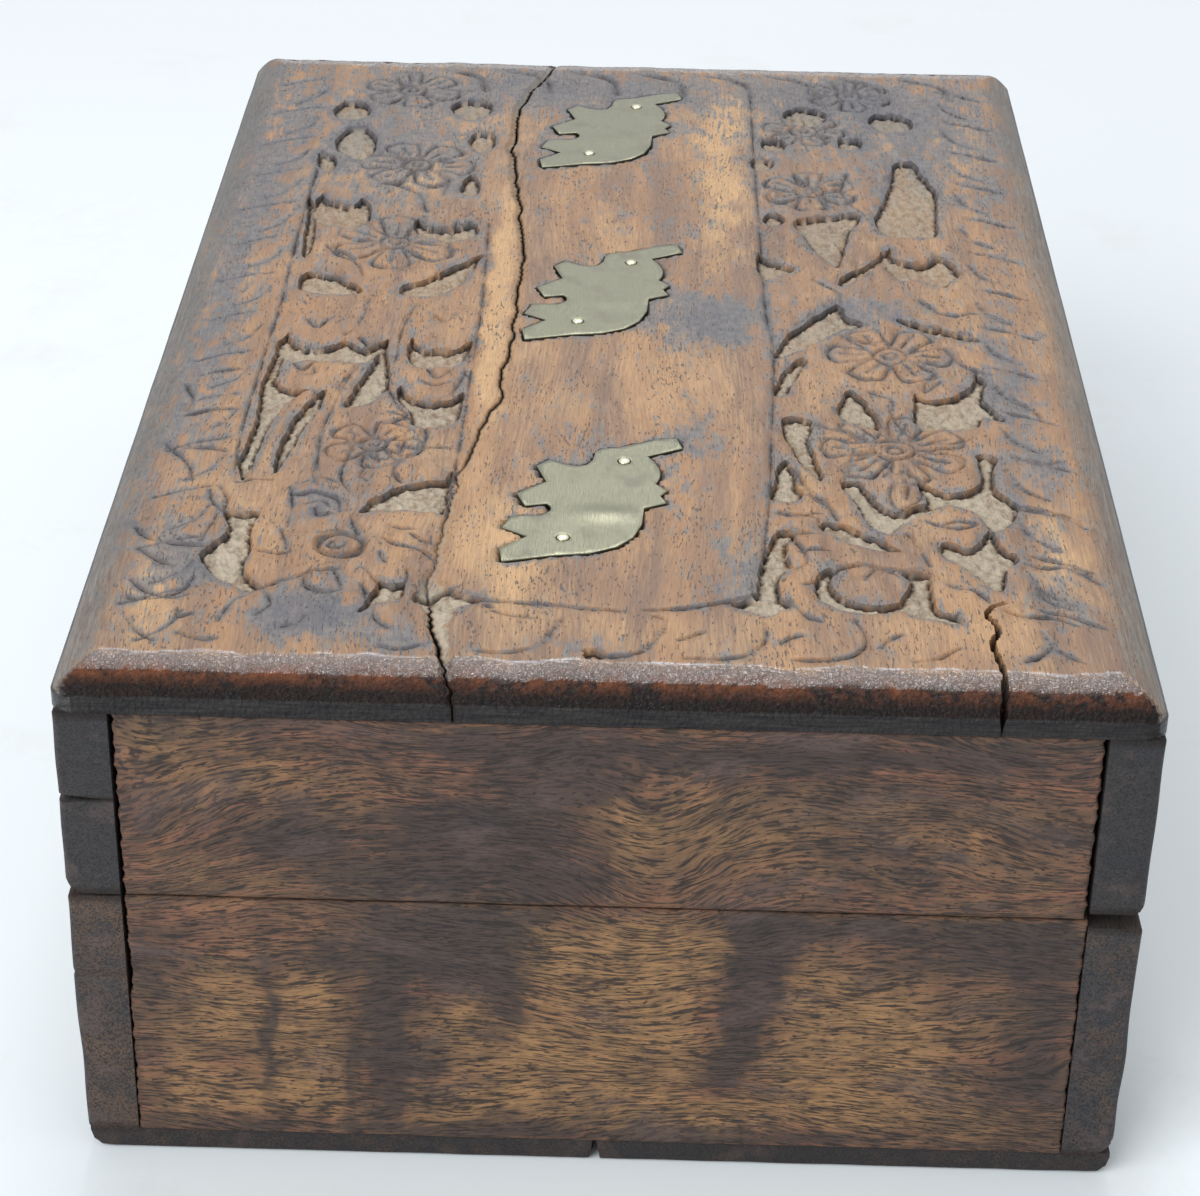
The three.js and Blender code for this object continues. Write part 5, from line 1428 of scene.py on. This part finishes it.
# Ends and sides get darker tones than the top: darker wood, and painted shade for faces turned from the
# window light.
END_TONES_WITH_SHADE = ("#674e3f", "#8a5f4a", "#9d7853", "#3b3532", "#373336", "#2e2827")
SIDE_TONES_WITH_SHADE = ("#49403c", "#58473c", "#6c5846", "#383a3e", "#2c2d30", "#242428")
carved_wood = sheesham("rubbed_sheesham_top", TOP_TONES, -0.1, 0.05, 0.0, 0.42, 0.5)
polished_wood = sheesham("polished_sheesham_moulding", TOP_TONES, -0.06, 0.1, 0.0, 0.34, 0.7, 0.6)
foot_wood = sheesham("dark_sheesham_moulding_foot", TOP_TONES, -0.04, 0.1, 0.0, 0.5, 0.15)
end_wood_with_shade = sheesham("stained_and_shaded_sheesham_ends", END_TONES_WITH_SHADE, 0.06, 0.06, 0.2, 0.5, 0.3, soft=0.13, dashes=0.9)
side_wood_with_shade = sheesham("handled_and_shaded_sheesham_sides", SIDE_TONES_WITH_SHADE, 0.04, 0.06, 0.0, 0.5, 0.3, soft=0.05, dashes=0.85)
print("wood finishes", [o.name for o in (carved_wood, polished_wood, foot_wood, end_wood_with_shade, side_wood_with_shade)])

# %% Give the boards their finish
POLISH_BEGINS, FOOT_BEGINS = 0.03, 0.5

for piece in [o for o in scene.objects if o.type == "MESH" and "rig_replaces" in o]:
    kind = name_group(piece.name)
    chosen = {"end": end_wood_with_shade, "long": side_wood_with_shade, "flat": side_wood_with_shade}[kind]
    piece.data.materials.append(carved_wood if "lid_top" in piece.name else chosen)
for piece in (left_top, right_top):
    piece.data.materials.append(polished_wood)
    piece.data.materials.append(foot_wood)
    out, long_side = (np.zeros(len(piece.data.vertices), np.float32) for _ in range(2))
    piece.data.attributes["out"].data.foreach_get("value", out)
    piece.data.attributes["side"].data.foreach_get("value", long_side)
    out = np.where(long_side > 0.5, 0, out)
    first = np.zeros(len(piece.data.polygons), np.int32)
    piece.data.polygons.foreach_get("loop_start", first)
    corner = np.zeros(len(piece.data.loops), np.int32)
    piece.data.loops.foreach_get("vertex_index", corner)
    band = np.digitize(out[corner[first]], (POLISH_BEGINS, FOOT_BEGINS))
    piece.data.polygons.foreach_set("material_index", band.astype(np.int32))
    print(piece.name, "faces of field, moulding and foot", np.bincount(band).tolist())

# %% [markdown]
# ## Metal
# The elephants are sawn from sheet brass and rubbed flat with the lid. They have dulled to a greenish grey,
# with fine scratches across. The pins through them are rubbed bright. The hinges and nails are out of sight
# for most of the box's life, so they stay browner.


# %% Metal finishes
def old_metal(name, clean, tarnish, roughness, scratch_depth, share):
    """Old metal: two tones in soft clouds about 4 mm across, and scratches 2 mm long and 0.12 mm wide."""
    material, tree = empty_material(name)
    place = add(tree, "ShaderNodeTexCoord", {}, "Object")
    clouds = add(tree, "ShaderNodeTexNoise", {"Vector": place, "Scale": 0.25 / MM, "Detail": 4.0})
    spread = add(tree, "ShaderNodeMapRange", {"Value": clouds, "From Min": 0.55 - share,
                                              "From Max": 0.75 - share})
    colour = add(tree, "ShaderNodeMix", {0: spread, 6: linear(clean), 7: linear(tarnish)}, 2,
                 data_type="RGBA")
    drawn = add(tree, "ShaderNodeVectorMath", {0: place, 1: (0.1 / MM, 1.6 / MM, 0.1 / MM)},
                operation="MULTIPLY")
    scratch = add(tree, "ShaderNodeTexNoise", {"Vector": drawn, "Scale": 5.0, "Detail": 3.0})
    rough = add(tree, "ShaderNodeMapRange", {"Value": spread, "To Min": roughness,
                                             "To Max": roughness + 0.14})
    height = add(tree, "ShaderNodeMath", {0: scratch, 1: scratch_depth, 2: 0.0}, operation="MULTIPLY_ADD")
    bump = add(tree, "ShaderNodeBump", {"Height": height, "Distance": MM, "Strength": 1.0})
    shader = add(tree, "ShaderNodeBsdfPrincipled", {"Base Color": colour, "Roughness": rough, "Normal": bump,
                                                    "Metallic": 1.0})
    add(tree, "ShaderNodeOutputMaterial", {"Surface": shader})
    return material


inlay_brass = old_metal("dull_sheet_brass", "#82816f", "#757366", 0.3, 0.04, 0.05)
pin_brass = old_metal("rubbed_brass_pin", "#e2dfc2", "#c9c5a2", 0.25, 0.01, 0.0)
hinge_brass = old_metal("aged_hinge_brass", "#84714c", "#57492f", 0.4, 0.02, 0.1)
nail_iron = old_metal("rusty_iron_nail", "#4a4441", "#4b3325", 0.55, 0.02, 0.1)
print("metals", [metal.name for metal in (inlay_brass, pin_brass, hinge_brass, nail_iron)])


# %% Elephant plates
PLATE_STEP = 0.6
PLATE_SUNK = 0.22


def soften_edges(made, name, width, degrees):
    """Rounds off, over a width in mm, the edges at which two faces meet by more than these degrees."""
    soften = made.modifiers.new(name, "BEVEL")
    soften.width = width * MM
    soften.segments = 2
    soften.limit_method = "ANGLE"
    soften.angle_limit = math.radians(degrees)


def filled(loops):
    """The area inside the first loop and outside the others, as points and small Delaunay triangles."""
    low, high = loops[0].min(0), loops[0].max(0)
    gx, gy = np.meshgrid(np.arange(low[0], high[0], PLATE_STEP), np.arange(low[1], high[1], PLATE_STEP))
    gx, gy = gx.ravel(), gy.ravel()
    keep = inside(shut(loops[0]), gx, gy)
    for loop in loops:
        keep &= distance_to(shut(loop), gx, gy) > 0.35
    flat = np.vstack([*loops, np.stack([gx[keep], gy[keep]], -1)])
    edges, first = [], 0
    for loop in loops:
        ids = first + np.arange(len(loop))
        edges += np.stack([ids, np.roll(ids, -1)], -1).tolist()
        first += len(loop)
    out, _, triangles, *_ = delaunay_2d_cdt([tuple(p) for p in flat], edges, [], 1, 1e-5)
    out = np.array([tuple(p) for p in out])
    triangles = np.array([t for t in triangles if len(t) == 3])
    middle = out[triangles].mean(1)
    keep = inside(shut(loops[0]), middle[:, 0], middle[:, 1])
    for hole in loops[1:]:
        keep &= ~inside(shut(hole), middle[:, 0], middle[:, 1])
    return out, triangles[keep]


def elephant_plate(node):
    """A plate: its filled outline, a flat back and walls. The near one swells at the rump by 0.2 mm."""
    loops, top, bottom = elephant_outline(node)
    out, triangles = filled(loops)
    centre = (loops[0].min(0) + loops[0].max(0)) / 2
    swell = (0.2 if centre[0] > 40 else 0.05) * np.exp(-((out[:, 0] - centre[0] - 4.2) / 1.7) ** 2
                                                      - ((out[:, 1] - centre[1] - 1.5) / 3.6) ** 2)
    height = top - PLATE_SUNK + swell + 0.012 * waves(out[:, 0] / 9, out[:, 1] / 9, top + centre[0])
    count = len(out)
    points = np.vstack([np.column_stack([out, height]), np.column_stack([out, np.full(count, bottom)])])
    rim = np.array(open_edges(triangles))
    walls = np.stack([rim[:, 1], rim[:, 0], rim[:, 0] + count, rim[:, 1] + count], -1)
    faces = triangles.tolist() + walls.tolist() + (triangles[:, ::-1] + count).tolist()
    made = mesh_object(node + "_plate", points, faces, len(triangles), crisp=False)
    made.data.materials.append(inlay_brass)
    soften_edges(made, "sawn edge", 0.09, 60)
    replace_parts(made, node)
    print(made.name, "faces", len(faces))
    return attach(made, "lid")


for node in ELEPHANTS:
    elephant_plate(node)


# %% [markdown]
# ## Pins, nails and hinges
# Pins and nails are turned shapes: a short profile carried round its axis. Their heads are domed and sit
# in small dents, because a hammer drove them. The hinge leaves keep their frame shape with softened edges.


# %% Turned pins and nails
SIDES = 20


def turned(name, profile, centre, axis, sign):
    """Carries (radius, height) pairs round an axis: each ring is the circle of that radius at that height."""
    profile = np.array(profile)
    angle = np.linspace(0, 2 * math.pi, SIDES, endpoint=False)
    r, h = profile[1:-1, 0, None], profile[1:-1, 1, None]
    rings = np.stack([r * np.cos(angle), r * np.sin(angle), np.broadcast_to(h, (len(r), SIDES))], -1)
    points = np.vstack([rings.reshape(-1, 3), (0, 0, profile[0, 1]), (0, 0, profile[-1, 1])])
    ids = np.arange(len(r) * SIDES).reshape(len(r), SIDES)
    turned_ids = np.roll(ids, -1, 1)
    sides = np.stack([ids[:-1], turned_ids[:-1], turned_ids[1:], ids[1:]], -1).reshape(-1, 4)
    start, end = len(points) - 2, len(points) - 1
    caps = [(start, int(b), int(a)) for a, b in zip(ids[0], turned_ids[0])]
    caps += [(end, int(a), int(b)) for a, b in zip(ids[-1], turned_ids[-1])]
    order = {0: (2, 0, 1), 1: (1, 2, 0), 2: (0, 1, 2)}[axis]
    points = points * (1, 1 if sign > 0 else -1, sign)
    faces = sides.tolist() + caps
    return mesh_object(name, points[:, order] + centre, faces, len(faces), crisp=False)


def driven(node, body, sign, axis, head_depth, head, shank, sunk, finish, slot):
    """One pin or nail in its node's place: point first, head outwards and a little below the surface."""
    low, high = box_mm(node)
    centre = (low + high) / 2
    length = high[axis] - low[axis]
    centre[axis] = low[axis] if sign > 0 else high[axis]
    top = length - sunk
    profile = [(0, 0), (shank * 0.25, 0.05), (shank, min(2.0, length / 4)), (shank, top - head_depth - 0.05),
               (shank, top - head_depth), (head, top - head_depth + 0.12), (head, top - 0.16),
               (head * 0.9, top - 0.06), (head * 0.55, top - 0.01), (0, top)]
    made = turned(node + "_metal", profile, centre, axis, sign)
    made.data.materials.append(finish)
    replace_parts(made, node)
    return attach(made, body)


# Each kind: its axis, the depth and the radius of its head, the radius of its shank, how far it is sunk, its
# finish and its slot.
DRIVEN = {
    "inlay_pin": (2, 0.5, 0.74, 0.7, 0.03, pin_brass, "bright_pin"),
    "corner_nail": (1, 0.7, 1.1, 0.7, 0.12, nail_iron, "dark_iron"),
    "bottom_nail": (2, 0.6, 1.1, 0.6, 0.02, nail_iron, "dark_iron"),
    "lid_top_nail": (2, 0.6, 0.9, 0.6, 0.3, nail_iron, "dark_iron"),
}
driven_nodes = [(node, kind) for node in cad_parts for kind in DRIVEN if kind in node]
for node, kind in driven_nodes:
    body = "base" if node.startswith(("base", "bottom")) else "lid"
    sign = -1 if kind == "bottom_nail" or "nail_front" in node else 1
    driven(node, body, sign, *DRIVEN[kind])
print("pins and nails", len(driven_nodes))

# %% Hinges
hinge_pieces = [made for node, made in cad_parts.items() if "hinge" in node]
for made in hinge_pieces:
    made.data.materials.clear()
    made.data.materials.append(hinge_brass)
    weld = made.modifiers.new("one surface", "WELD")
    weld.merge_threshold = 0.001 * MM
    soften_edges(made, "worn edge", 0.08, 50)
print("hinge pieces", len(hinge_pieces))
